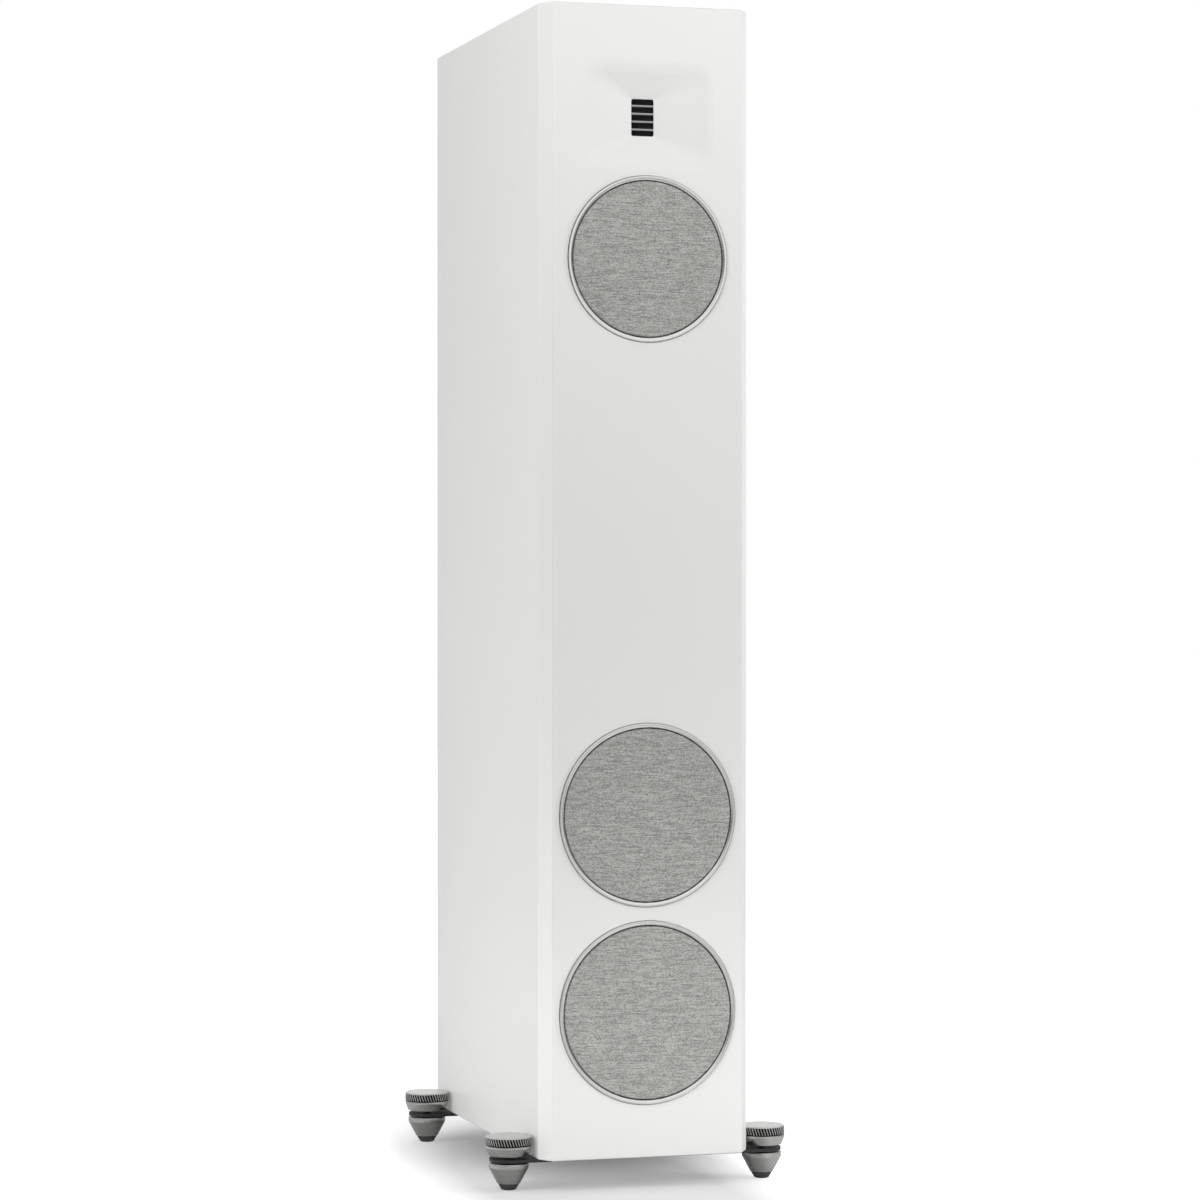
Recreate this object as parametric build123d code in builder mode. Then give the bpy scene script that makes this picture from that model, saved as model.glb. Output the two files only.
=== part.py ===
from build123d import *
import math
import os

# A three-way floorstanding loudspeaker: a lacquered cabinet on two outriggers with screw
# feet, a folded-ribbon tweeter in a shallow waveguide, a midrange and two woofers behind
# round pull-off grilles. Millimetres. The origin is on the floor under the cabinet's middle,
# +Z is up, the front faces -Y and the right side as seen from the front is +X.

# ---- Drivers, seen from the front ------------------------------------------------------
woofer_ring_radius = 89.6
midrange_ring_radius = 81.0
woofer_travel = 5.0
midrange_travel = 3.0
woofer_frame_depth = 56.0
midrange_frame_depth = 48.0
woofer_dish_depth = 24.0
midrange_dish_depth = 20.0
woofer_magnet_radius = 50.0
midrange_magnet_radius = 42.0
woofer_magnet_thickness = 18.0
midrange_magnet_thickness = 14.0
woofer_coil_radius = 16.6
midrange_coil_radius = 12.6
woofer_roll_radius = 5.0
midrange_roll_radius = 4.0

# ---- Layout on the front ---------------------------------------------------------------
side_margin = 16.9          # woofer ring to the cabinet's side
woofer_spacing = 13.0       # between the two woofer rings
lower_woofer_height = 140.9  # above the cabinet's underside
tweeter_drop = 107.0        # tweeter below the cabinet's top
waveguide_gap = 11.3        # waveguide mouth to the midrange ring

# ---- Cabinet ---------------------------------------------------------------------------
cabinet_height = 1120.0
cabinet_depth = 414.0
wall = 18.0
baffle_thickness = 30.0
bevel_side = 10.0           # front bevel along the width
bevel_depth = 16.6          # front bevel along the depth
edge_radius = 1.5
brace_thickness = 15.0
brace_border = 28.0
chamber_wall = 12.0
chamber_depth = 150.0

# ---- Trim and fits ---------------------------------------------------------------------
trim_stand = 1.6            # rings and rear fittings stand this far out of the cabinet
seat_gap = 0.3              # around a piece that drops into its seat
thread_gap = 0.05           # running fit of a screw thread, per side
ring_face = 4.2             # visible width of a trim ring
ring_fall = 0.8             # the ring's bead ends this far behind the cabinet's front
ring_depth = 13.0           # trim ring behind the cabinet's front
grille_gap = 1.2            # around a grille inside its ring
grille_ledge = 4.9          # depth of the ledge that the grille rests on
ledge_width = 4.9
flange_thickness = 4.0
flange_width = 8.6          # driver flange on the baffle's rebate
roll_wall = 1.0
cone_wall = 1.2
cone_glue_lip = 3.0
frame_wall = 4.0
frame_ledge = 4.0           # spider ledge inside the magnet's edge
frame_rim = 6.4             # driver frame's rim inside the baffle's hole
coil_clearance = 0.8        # between the winding and each pole
plate_inset = 3.0           # steel plates inside the magnet's edge
magnet_bore_gap = 6.0       # magnet's bore outside the winding
spider_seat = 3.0           # spider's edge outside the magnet
frame_skin = 3.0            # wall of the frame's back and of its cone
frame_draft = 3.4           # how far the frame's cone stands inside its front edge
frame_window_start = 7.0    # windows behind the flange
frame_window_inner = 0.36   # half angles of a window, in radians
frame_window_outer = 0.42
spider_back = 10.0          # spider ledge in front of the frame's back
spider_ledge = 8.0
coil_start = 1.0            # winding behind the frame's back, and short of the plate
coil_overhang = 2.0
joint_overlap = 0.1
pole_vent_share = 1 / 3
spider_waves = 3
spider_wave_height = 1.2
spider_thickness = 0.7

# ---- Grilles ---------------------------------------------------------------------------
cloth_thickness = 0.7
cloth_skirt = 0.5
cloth_inset = 0.5           # the cloth's face behind the ring's crest
grille_rim = 6.2
grille_hub_radius = 12.0
grille_hub_wall = 3.0
grille_rib_count = 6
grille_rib_width = 2.4
grille_rib_thickness = 2.0

# ---- Waveguide and tweeter -------------------------------------------------------------
mouth_width = 128.0
mouth_height = 94.0
mouth_corner = 15.0
mouth_lip = 22.0            # radius that rolls the mouth into the front
window_width = 22.9
slot_pitch = 7.7
slot_height = 5.4
slot_count = 5
window_corner = 2.0
window_depth = 18.8
throat_length = 1.0
pole_thickness = 3.0
tweeter_flange_width = 110.0
tweeter_magnet_width = 20.0
tweeter_magnet_depth = 7.0
pleat_count = 14
pleat_depth = 5.4
film_thickness = 0.3
tweeter_cup_depth = 28.0
tweeter_cup_wall = 3.0

# ---- Rear fittings ---------------------------------------------------------------------
port_radius = 33.0
port_wall = 2.5
port_length = 122.0
port_flare = 12.0
port_rim = 5.5
lower_port_height = 330.0
upper_port_height = 560.0
cup_width = 86.0
cup_height = 66.0
cup_depth = 38.0
cup_rim = 11.0
cup_corner = 9.0
cup_rim_corner = 12.0
cup_wall = 2.5
cup_draft = 3.0             # degrees
cup_centre_height = 150.0
post_spacing = 38.0
post_radius = 4.0
socket_radius = 2.0
socket_length = 20.0
collar_radius = 8.0
collar_length = 5.0
washer_radius = 7.6
washer_thickness = 1.5
knob_radius = 8.6
knob_length = 17.0
knob_flutes = 12
knob_flute_radius = 1.5
knob_flute_offset = 0.8     # flute centres outside the knob's side
knob_edge = 0.6
knob_skirt = 3.4            # plain band at the knob's foot
post_tail = 8.0             # post behind the cup's floor
post_nut_radius = 7.0
post_nut_thickness = 4.0
post_recess = 1.0           # post end inside the knob

# ---- Crossover -------------------------------------------------------------------------
board_width = 120.0
board_depth = 110.0
board_thickness = 1.6
board_stand = 8.0
board_inset = 7.0           # pillars in from the board's edges
pillar_radius = 4.0
coil_row = -32.0            # coils ahead of the board's middle
capacitor_start = 5.0
coil_bore_share = 1 / 2.2
coils = ((-38.0, 19.0), (4.0, 16.0), (40.0, 14.0))  # place across, radius
capacitors = (              # place across, radius, length
    (-44.0, 9.0, 42.0), (-22.0, 9.0, 42.0), (0.0, 7.5, 34.0), (18.0, 7.5, 34.0),
)
resistors = (34.0, 48.0)
resistor_row = 26.0
resistor_size = 9.0
resistor_length = 44.0

# ---- Outriggers and feet ---------------------------------------------------------------
ground_clearance = 31.0     # floor to the cabinet's underside
foot_reach = 23.5           # foot centre beyond the cabinet's side
front_foot_inset = 38.0     # foot centre behind the cabinet's front
rear_foot_inset = 48.0      # foot centre ahead of the cabinet's rear
outrigger_thickness = 3.0
outrigger_width = 38.0
stud_radius = 4.0
foot_turn_gap = 2.8         # clear above the outrigger
foot_drop_gap = 1.5         # clear below the outrigger
foot_cap_radius = 22.8
foot_waist_radius = 19.7
foot_taper_height = 7.6     # the cap's lower part, widening upwards
foot_land_height = 2.0      # plain band above the taper
foot_groove_height = 1.2    # turned groove between the band and the flutes
foot_groove_depth = 1.0
foot_flute_height = 6.8
foot_cap_edge = 1.2         # eased top edge of the cap
foot_flute_count = 50
foot_flute_depth = 1.3
foot_flute_slant = 18.0     # degrees from upright
foot_cap_bore = 9.0         # depth of the cap's blind thread
cone_top_radius = 19.4
cone_rim_height = 4.8
cone_end_radius = 11.2
tip_height = 6.5
tip_top_radius = 10.4
tip_bottom_radius = 6.4
tip_edge = 1.2
pivot_radius = 3.0
pivot_length = 4.0

# ---- Fasteners -------------------------------------------------------------------------
screw_radius = 2.0
screw_bite = 9.0            # length in the wood
frame_screw_count = 6
cup_screw_radius = 1.5
bolt_radius = 3.0
bolt_head_radius = 5.6
bolt_head_depth = 2.6
bolt_bite = 13.0
bolt_spacing = 120.0

# ---- Derived sizes ---------------------------------------------------------------------
half_width = woofer_ring_radius + side_margin
front = -cabinet_depth / 2
rear = cabinet_depth / 2
baffle_back = front + baffle_thickness
rear_inside = rear - wall
underside = ground_clearance
cabinet_top = underside + cabinet_height
inner_half_width = half_width - wall
window_height = (slot_count - 1) * slot_pitch + slot_height

lower_woofer_z = underside + lower_woofer_height
upper_woofer_z = lower_woofer_z + 2 * woofer_ring_radius + woofer_spacing
tweeter_z = cabinet_top - tweeter_drop
midrange_z = tweeter_z - mouth_height / 2 - waveguide_gap - midrange_ring_radius
lower_port_z = underside + lower_port_height
upper_port_z = underside + upper_port_height
cup_z = underside + cup_centre_height


class Driver:
    """One cone driver: where it sits and the radii and depths that its pieces share."""

    def __init__(self, name, z, ring, travel, frame, dish, magnet, magnet_thickness, coil, roll):
        self.name = name
        self.z = z
        self.ring = ring
        self.travel = travel
        self.frame = frame
        self.dish = dish
        self.magnet = magnet
        self.magnet_thickness = magnet_thickness
        self.coil = coil
        self.roll = roll
        self.rebate = ring + seat_gap
        self.rebate_depth = ring_depth + flange_thickness
        self.hole = ring - flange_width
        self.mouth = ring - ring_face
        self.grille = self.mouth - grille_gap
        self.ledge = self.mouth - ledge_width
        self.lip = self.ledge - seat_gap
        self.frame_mouth = self.hole - frame_rim
        self.roll_centre = self.frame_mouth - roll - joint_overlap
        self.cone_edge = self.roll_centre - roll
        self.cone_lip = self.cone_edge - cone_glue_lip
        self.plate = pole_thickness * 2
        self.spider_depth = frame - spider_back
        self.screw_circle = (self.hole + self.rebate) / 2
        # local x is the radius and local y the depth behind the cabinet's front
        self.section = Plane(origin=(0, front, z), x_dir=(1, 0, 0), z_dir=(0, 0, 1))
        self.axis = Axis((0, front, z), (0, 1, 0))

    def face(self, depth):
        """The plane across the driver's axis at a depth, seen from the front."""
        return Plane(origin=(0, front + depth, self.z), x_dir=(1, 0, 0), z_dir=(0, -1, 0))


midrange = Driver(
    "midrange", midrange_z, midrange_ring_radius, midrange_travel, midrange_frame_depth,
    midrange_dish_depth, midrange_magnet_radius, midrange_magnet_thickness,
    midrange_coil_radius, midrange_roll_radius,
)
upper_woofer = Driver(
    "upper_woofer", upper_woofer_z, woofer_ring_radius, woofer_travel, woofer_frame_depth,
    woofer_dish_depth, woofer_magnet_radius, woofer_magnet_thickness,
    woofer_coil_radius, woofer_roll_radius,
)
lower_woofer = Driver(
    "lower_woofer", lower_woofer_z, woofer_ring_radius, woofer_travel, woofer_frame_depth,
    woofer_dish_depth, woofer_magnet_radius, woofer_magnet_thickness,
    woofer_coil_radius, woofer_roll_radius,
)
drivers = [midrange, upper_woofer, lower_woofer]


def front_plane(depth, z):
    """A plane facing the front, at a depth behind the cabinet's front."""
    return Plane(origin=(0, front + depth, z), x_dir=(1, 0, 0), z_dir=(0, -1, 0))


def rear_plane(depth, z):
    """A plane facing the rear, at a depth ahead of the cabinet's rear face."""
    return Plane(origin=(0, rear - depth, z), x_dir=(-1, 0, 0), z_dir=(0, 1, 0))


def save(piece, label):
    piece.label = label
    export_step(piece, f"parts/{label}.step")


os.makedirs("parts", exist_ok=True)

# ---- Front baffle ----------------------------------------------------------------------
with BuildPart() as front_baffle:
    with BuildSketch(Plane.XY.offset(underside)):
        with BuildLine():
            Polyline(
                (-half_width, front + bevel_depth),
                (-half_width + bevel_side, front),
                (half_width - bevel_side, front),
                (half_width, front + bevel_depth),
                (half_width, baffle_back),
                (-half_width, baffle_back),
                close=True,
            )
        make_face()
    extrude(amount=cabinet_height)
    # every outer edge is eased; the back face keeps square edges for its joints
    outer_edges = front_baffle.edges().filter_by(
        lambda edge: edge.center().Y < baffle_back - edge_radius
    )
    fillet(outer_edges, edge_radius)

    # stepped seats for the three drivers, opened up behind with a chamfer
    for driver in drivers:
        with BuildSketch(driver.face(0)):
            Circle(driver.rebate)
        extrude(amount=-driver.rebate_depth, mode=Mode.SUBTRACT)
        with BuildSketch(driver.face(0)):
            Circle(driver.hole)
        extrude(amount=-baffle_thickness, mode=Mode.SUBTRACT)
        back_edge = front_baffle.edges().filter_by(GeomType.CIRCLE).filter_by(
            lambda edge: abs(edge.arc_center.Z - driver.z) < 1
        ).sort_by(Axis.Y)[-1]
        chamfer(back_edge, flange_width - 2 * screw_radius)
        with BuildSketch(driver.face(driver.rebate_depth)):
            with PolarLocations(driver.screw_circle, frame_screw_count, start_angle=30):
                Circle(screw_radius)
        extrude(amount=-screw_bite, mode=Mode.SUBTRACT)

    # the waveguide narrows from its mouth to the tweeter's window
    with BuildSketch(front_plane(0, tweeter_z)):
        RectangleRounded(mouth_width, mouth_height, mouth_corner)
    with BuildSketch(front_plane(window_depth - throat_length, tweeter_z)):
        RectangleRounded(window_width, window_height, window_corner)
    loft(mode=Mode.SUBTRACT)
    with BuildSketch(front_plane(window_depth - throat_length, tweeter_z)):
        RectangleRounded(window_width, window_height, window_corner)
    extrude(amount=-throat_length, mode=Mode.SUBTRACT)
    mouth_edges = front_baffle.edges().filter_by(
        lambda edge: abs(edge.center().Y - front) < 0.01
        and abs(edge.center().Z - tweeter_z) < mouth_height / 2 + 1
        and abs(edge.center().X) < mouth_width / 2 + 1
    )
    fillet(mouth_edges, mouth_lip)

    # the tweeter drops into a pocket from behind
    with BuildSketch(front_plane(window_depth, tweeter_z)):
        RectangleRounded(tweeter_flange_width, mouth_height, window_corner)
    extrude(amount=-baffle_thickness, mode=Mode.SUBTRACT)
save(front_baffle.part, "front_baffle")

# ---- Side, top, bottom and rear panels ---------------------------------------------------
for side, label in ((-1, "left_side_panel"), (1, "right_side_panel")):
    with BuildPart() as side_panel:
        with BuildSketch(Plane.XY.offset(underside)):
            with Locations((side * (half_width - wall / 2), (baffle_back + rear) / 2)):
                Rectangle(wall, rear - baffle_back)
        extrude(amount=cabinet_height)
        outer_face = side_panel.faces().sort_by(Axis.X)[0 if side < 0 else -1]
        fillet(
            outer_face.edges().filter_by(lambda edge: edge.center().Y > baffle_back + 1)
            + side_panel.faces().sort_by(Axis.Y)[-1].edges().filter_by(Axis.X),
            edge_radius,
        )
    save(side_panel.part, label)

for height, label in ((underside, "bottom_panel"), (cabinet_top - wall, "top_panel")):
    with BuildPart() as end_panel:
        with BuildSketch(Plane.XY.offset(height)):
            with Locations((0, (baffle_back + rear_inside) / 2)):
                Rectangle(2 * inner_half_width, rear_inside - baffle_back)
        extrude(amount=wall)
        if label == "bottom_panel":
            # pilot holes for the outrigger bolts
            with BuildSketch(Plane.XY.offset(underside)):
                for y in (front + front_foot_inset, rear - rear_foot_inset):
                    with Locations((-bolt_spacing / 2, y), (bolt_spacing / 2, y)):
                        Circle(bolt_radius)
            extrude(amount=bolt_bite, mode=Mode.SUBTRACT)
    save(end_panel.part, label)

port_seat = port_radius + port_flare + port_wall      # the flare's outer wall
port_rim_radius = port_seat + port_rim
with BuildPart() as rear_panel:
    with BuildSketch(Plane(origin=(0, rear, underside), x_dir=(-1, 0, 0), z_dir=(0, 1, 0))):
        with Locations((0, cabinet_height / 2)):
            Rectangle(2 * inner_half_width, cabinet_height)
    extrude(amount=-wall)
    rear_face = rear_panel.faces().sort_by(Axis.Y)[-1]
    fillet(rear_face.edges().filter_by(Axis.X), edge_radius)
    for z in (lower_port_z, upper_port_z):
        with BuildSketch(rear_plane(0, z)):
            Circle(port_seat + seat_gap)
        extrude(amount=-wall, mode=Mode.SUBTRACT)
    with BuildSketch(rear_plane(0, cup_z)):
        RectangleRounded(
            cup_width + 2 * (cup_wall + seat_gap),
            cup_height + 2 * (cup_wall + seat_gap),
            cup_corner + cup_wall,
        )
    extrude(amount=-wall, mode=Mode.SUBTRACT)
    with BuildSketch(rear_plane(0, cup_z)):
        with GridLocations(cup_width + cup_rim, cup_height + cup_rim, 2, 2):
            Circle(cup_screw_radius)
    extrude(amount=-screw_bite, mode=Mode.SUBTRACT)
save(rear_panel.part, "rear_panel")

# ---- Bracing and the midrange's own chamber ----------------------------------------------
chamber_top = midrange_z + midrange.hole + chamber_wall + 1
chamber_bottom = midrange_z - midrange.hole - 2 * chamber_wall
brace_heights = (
    (lower_woofer_z + upper_woofer_z) / 2,
    (lower_port_z + upper_port_z) / 2,
    (upper_port_z + chamber_bottom) / 2,
)
with BuildPart() as window_braces:
    brace_length = rear_inside - baffle_back
    opening_length = (brace_length - 3 * brace_border) / 2
    for z in brace_heights:
        with BuildSketch(Plane.XY.offset(z - brace_thickness / 2)):
            with Locations((0, (baffle_back + rear_inside) / 2)):
                Rectangle(2 * inner_half_width, brace_length)
                with GridLocations(0, opening_length + brace_border, 1, 2):
                    RectangleRounded(
                        2 * (inner_half_width - brace_border),
                        opening_length,
                        brace_border / 2,
                        mode=Mode.SUBTRACT,
                    )
        extrude(amount=brace_thickness)
save(window_braces.part, "window_braces")

with BuildPart() as midrange_chamber:
    with BuildSketch(Plane.XY.offset(chamber_bottom)):
        with Locations((0, baffle_back + chamber_depth / 2)):
            Rectangle(2 * inner_half_width, chamber_depth)
    extrude(amount=chamber_top - chamber_bottom)
    with BuildSketch(Plane.XY.offset(chamber_bottom + chamber_wall)):
        with Locations((0, baffle_back + (chamber_depth - chamber_wall) / 2)):
            Rectangle(2 * (inner_half_width - chamber_wall), chamber_depth - chamber_wall)
    extrude(amount=chamber_top - chamber_bottom - 2 * chamber_wall, mode=Mode.SUBTRACT)
save(midrange_chamber.part, "midrange_chamber")

# ---- Tweeter: slotted pole plates, a pleated film between magnets, and a rear cup --------
tweeter_back = window_depth + 2 * pole_thickness + tweeter_magnet_depth
film_edge = window_width / 2 + 2 * seat_gap
magnet_centre = film_edge + seat_gap + tweeter_magnet_width / 2
rear_pole_width = 2 * (magnet_centre + tweeter_magnet_width / 2)
rear_pole_height = window_height + 4 * pole_thickness

with BuildPart() as tweeter_pole_plates:
    with BuildSketch(front_plane(window_depth, tweeter_z)):
        RectangleRounded(
            tweeter_flange_width - 2 * seat_gap, mouth_height - 2 * seat_gap, window_corner
        )
        with GridLocations(0, slot_pitch, 1, slot_count):
            Rectangle(window_width + 2 * seat_gap, slot_height, mode=Mode.SUBTRACT)
    extrude(amount=-pole_thickness)
    # the bars across the window have softened front edges
    bar_edges = tweeter_pole_plates.edges().filter_by(Axis.X).filter_by(
        lambda edge: abs(edge.center().Y - front - window_depth) < 0.01
        and edge.length < window_width + 1
        and abs(edge.center().Z - tweeter_z) < window_height / 2 - slot_height / 2
    )
    fillet(bar_edges, (slot_pitch - slot_height) / 3)
    with BuildSketch(front_plane(tweeter_back - pole_thickness, tweeter_z)):
        Rectangle(rear_pole_width, rear_pole_height)
        with GridLocations(0, slot_pitch, 1, slot_count):
            Rectangle(window_width, slot_height, mode=Mode.SUBTRACT)
    extrude(amount=-pole_thickness)
save(tweeter_pole_plates.part, "tweeter_pole_plates")

# the film's section is a zigzag with the folds running up and down
pleat_pitch = 2 * film_edge / pleat_count
film_front = front + window_depth + pole_thickness + (tweeter_magnet_depth - pleat_depth) / 2
fold_points = [
    (
        -film_edge + fold * pleat_pitch / 2,
        film_front + (pleat_depth - film_thickness * 2) * (fold % 2),
    )
    for fold in range(2 * pleat_count + 1)
]
with BuildPart() as tweeter_diaphragm:
    with BuildSketch(Plane.XY.offset(tweeter_z - window_height / 2 - pole_thickness)):
        with BuildLine():
            Polyline(*fold_points, *[(x, y + 2 * film_thickness) for x, y in fold_points[::-1]],
                     close=True)
        make_face()
    extrude(amount=window_height + 2 * pole_thickness)
save(tweeter_diaphragm.part, "tweeter_diaphragm")

with BuildPart() as tweeter_magnets:
    with BuildSketch(front_plane(window_depth + pole_thickness, tweeter_z)):
        with Locations((-magnet_centre, 0), (magnet_centre, 0)):
            Rectangle(tweeter_magnet_width, rear_pole_height)
    extrude(amount=-tweeter_magnet_depth)
save(tweeter_magnets.part, "tweeter_magnets")

with BuildPart() as tweeter_rear_cup:
    with BuildSketch(front_plane(tweeter_back, tweeter_z)):
        Rectangle(rear_pole_width, rear_pole_height)
    extrude(amount=-tweeter_cup_depth)
    fillet(tweeter_rear_cup.faces().sort_by(Axis.Y)[-1].edges(), tweeter_cup_wall)
    with BuildSketch(front_plane(tweeter_back, tweeter_z)):
        Rectangle(rear_pole_width - 2 * tweeter_cup_wall, rear_pole_height - 2 * tweeter_cup_wall)
    extrude(amount=-(tweeter_cup_depth - tweeter_cup_wall), mode=Mode.SUBTRACT)
save(tweeter_rear_cup.part, "tweeter_rear_cup")


# ---- Drivers ---------------------------------------------------------------------------
def trim_ring(driver):
    """The bright ring: a rounded bead, a ledge for the grille and a skirt onto the flange."""
    crest = driver.ring - trim_stand
    bead_width = crest - driver.mouth
    bead_height = trim_stand + ring_fall
    with BuildPart() as ring:
        with BuildSketch(driver.section):
            with BuildLine():
                crown = CenterArc((crest, 0), trim_stand, 0, -90)
                bead = ThreePointArc(
                    crown @ 1,
                    (
                        crest - bead_width * math.sin(math.pi / 4),
                        ring_fall - bead_height * math.cos(math.pi / 4),
                    ),
                    (driver.mouth, ring_fall),
                )
                Polyline(
                    bead @ 1,
                    (driver.mouth, grille_ledge),
                    (driver.ledge, grille_ledge),
                    (driver.ledge, ring_depth),
                    (driver.ring, ring_depth),
                    crown @ 0,
                )
            make_face()
        revolve(axis=driver.axis)
    return ring.part


def basket(driver):
    """A cast frame: flange, windowed cone, spider ledge and a seat for the motor."""
    seat_radius = driver.magnet * 0.6
    ledge_radius = driver.magnet - frame_ledge
    rear_radius = driver.magnet + frame_wall / 2
    front_radius = driver.hole - 2 * seat_gap
    with BuildPart() as frame:
        with BuildSketch(driver.section):
            with BuildLine():
                Polyline(
                    (driver.frame_mouth, ring_depth),
                    (driver.rebate - 2 * seat_gap, ring_depth),
                    (driver.rebate - 2 * seat_gap, driver.rebate_depth),
                    (front_radius, driver.rebate_depth),
                    (front_radius, driver.rebate_depth + frame_skin),
                    (rear_radius, driver.frame - frame_wall),
                    (rear_radius, driver.frame),
                    (seat_radius, driver.frame),
                    (seat_radius, driver.frame - frame_skin),
                    (ledge_radius, driver.frame - frame_skin),
                    (ledge_radius, driver.spider_depth),
                    (ledge_radius + spider_ledge, driver.spider_depth),
                    (front_radius - frame_draft, driver.rebate_depth + frame_skin),
                    (driver.frame_mouth, driver.rebate_depth),
                    close=True,
                )
            make_face()
        revolve(axis=driver.axis)
        # six windows leave tapered spokes
        window_front = driver.rebate_depth + frame_window_start
        inner = ledge_radius
        outer = driver.ring
        with BuildSketch(driver.face(window_front)):
            with PolarLocations(0, frame_screw_count):
                with BuildLine(mode=Mode.PRIVATE) as wedge:
                    Polyline(
                        (inner * math.cos(frame_window_inner), -inner * math.sin(frame_window_inner)),
                        (outer * math.cos(frame_window_outer), -outer * math.sin(frame_window_outer)),
                        (outer * math.cos(frame_window_outer), outer * math.sin(frame_window_outer)),
                        (inner * math.cos(frame_window_inner), inner * math.sin(frame_window_inner)),
                        close=True,
                    )
                add(make_face(wedge.edges(), mode=Mode.PRIVATE))
        extrude(amount=-(driver.spider_depth - window_front - 1), mode=Mode.SUBTRACT)
        with BuildSketch(driver.face(ring_depth)):
            with PolarLocations(driver.screw_circle, frame_screw_count, start_angle=30):
                Circle(screw_radius)
        extrude(amount=-flange_thickness, mode=Mode.SUBTRACT)
    return frame.part


def surround(driver):
    """The rubber half roll between the frame's flange and the cone's edge."""
    base = ring_depth - roll_wall
    outer_foot = math.sqrt(driver.roll ** 2 - roll_wall ** 2)
    inner_roll = driver.roll - roll_wall
    with BuildPart() as roll:
        with BuildSketch(driver.section):
            with BuildLine():
                top = ThreePointArc(
                    (driver.roll_centre + outer_foot, base),
                    (driver.roll_centre, ring_depth - driver.roll),
                    (driver.roll_centre - outer_foot, base),
                )
                under = ThreePointArc(
                    (driver.roll_centre - inner_roll, ring_depth),
                    (driver.roll_centre, ring_depth - inner_roll),
                    (driver.roll_centre + inner_roll, ring_depth),
                )
                Polyline(top @ 1, (driver.cone_lip, base), (driver.cone_lip, ring_depth), under @ 0)
                Polyline(under @ 1, (driver.lip, ring_depth), (driver.lip, base), top @ 0)
            make_face()
        revolve(axis=driver.axis)
    return roll.part


def dish_depth_at(driver, radius, skin):
    """Depth of the cone's spherical dish at a radius, on its front (skin 0) or its back."""
    sphere = (driver.cone_lip ** 2 + driver.dish ** 2) / (2 * driver.dish)
    return ring_depth + driver.dish - sphere + math.sqrt((sphere + skin) ** 2 - radius ** 2)


def cone(driver):
    """The one-piece dish with its flat glue lip, and the neck that carries the voice coil."""
    coil_front = driver.frame + coil_start
    coil_back = coil_front + driver.plate - coil_overhang + driver.travel
    neck_front = dish_depth_at(driver, driver.coil + cone_wall, cone_wall / 2)
    lip_back = ring_depth + cone_wall
    back_lip = driver.cone_lip
    with BuildPart() as diaphragm:
        with BuildSketch(driver.section):
            with BuildLine():
                face = ThreePointArc(
                    (0, dish_depth_at(driver, 0, 0)),
                    (driver.cone_lip / 2, dish_depth_at(driver, driver.cone_lip / 2, 0)),
                    (driver.cone_lip, ring_depth),
                )
                back = ThreePointArc(
                    (back_lip, dish_depth_at(driver, back_lip, cone_wall)),
                    (back_lip / 2, dish_depth_at(driver, back_lip / 2, cone_wall)),
                    (0, dish_depth_at(driver, 0, cone_wall)),
                )
                Polyline(
                    face @ 1,
                    (driver.cone_edge, ring_depth),
                    (driver.cone_edge, lip_back),
                    (driver.cone_lip + joint_overlap, lip_back),
                    back @ 0,
                )
                Line(back @ 1, face @ 0)
            make_face()
        revolve(axis=driver.axis)
        # the neck tube, and the winding on its rear end
        with BuildSketch(driver.section):
            with BuildLine():
                Polyline(
                    (driver.coil, neck_front),
                    (driver.coil + cone_wall / 2, neck_front),
                    (driver.coil + cone_wall / 2, coil_front),
                    (driver.coil + cone_wall, coil_front),
                    (driver.coil + cone_wall, coil_back),
                    (driver.coil, coil_back),
                    close=True,
                )
            make_face()
        revolve(axis=driver.axis)
    return diaphragm.part


def spider(driver):
    """The corrugated fabric disc that centres the neck."""
    inner = driver.coil + cone_wall / 2 + thread_gap
    outer = driver.magnet + spider_seat
    flat = 4.0
    pitch = (outer - inner - 2 * flat) / (2 * spider_waves)
    knees = [
        (inner + flat + step * pitch, spider_wave_height * (step % 2))
        for step in range(2 * spider_waves + 1)
    ]
    front_line = [(inner, 0)] + knees + [(outer, 0)]
    with BuildPart() as disc:
        with BuildSketch(driver.section):
            with BuildLine():
                Polyline(
                    *[(r, driver.spider_depth - y - spider_thickness) for r, y in front_line],
                    *[(r, driver.spider_depth - y) for r, y in front_line[::-1]],
                    close=True,
                )
            make_face()
        revolve(axis=driver.axis)
    return disc.part


def grille_frame(driver):
    """The moulded grille: a stiff rim, thin ribs at its back and a hub ring."""
    rim_radius = driver.grille - cloth_skirt
    rim_front = cloth_thickness - trim_stand + cloth_inset
    rim_back = grille_ledge - seat_gap
    with BuildPart() as frame:
        with BuildSketch(driver.section):
            with BuildLine():
                Polyline(
                    (rim_radius - grille_rim, rim_front),
                    (rim_radius, rim_front),
                    (rim_radius, rim_back),
                    (rim_radius - grille_rim, rim_back),
                    close=True,
                )
            make_face()
            with Locations((grille_hub_radius, rim_back - grille_rib_thickness / 2)):
                Rectangle(grille_hub_wall, grille_rib_thickness)
        revolve(axis=driver.axis)
        with BuildSketch(driver.face(rim_back)):
            rib_length = rim_radius - grille_rim / 2 - grille_hub_radius
            with PolarLocations(grille_hub_radius + rib_length / 2, grille_rib_count):
                Rectangle(rib_length, grille_rib_width)
        extrude(amount=grille_rib_thickness)
    return frame.part


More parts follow.
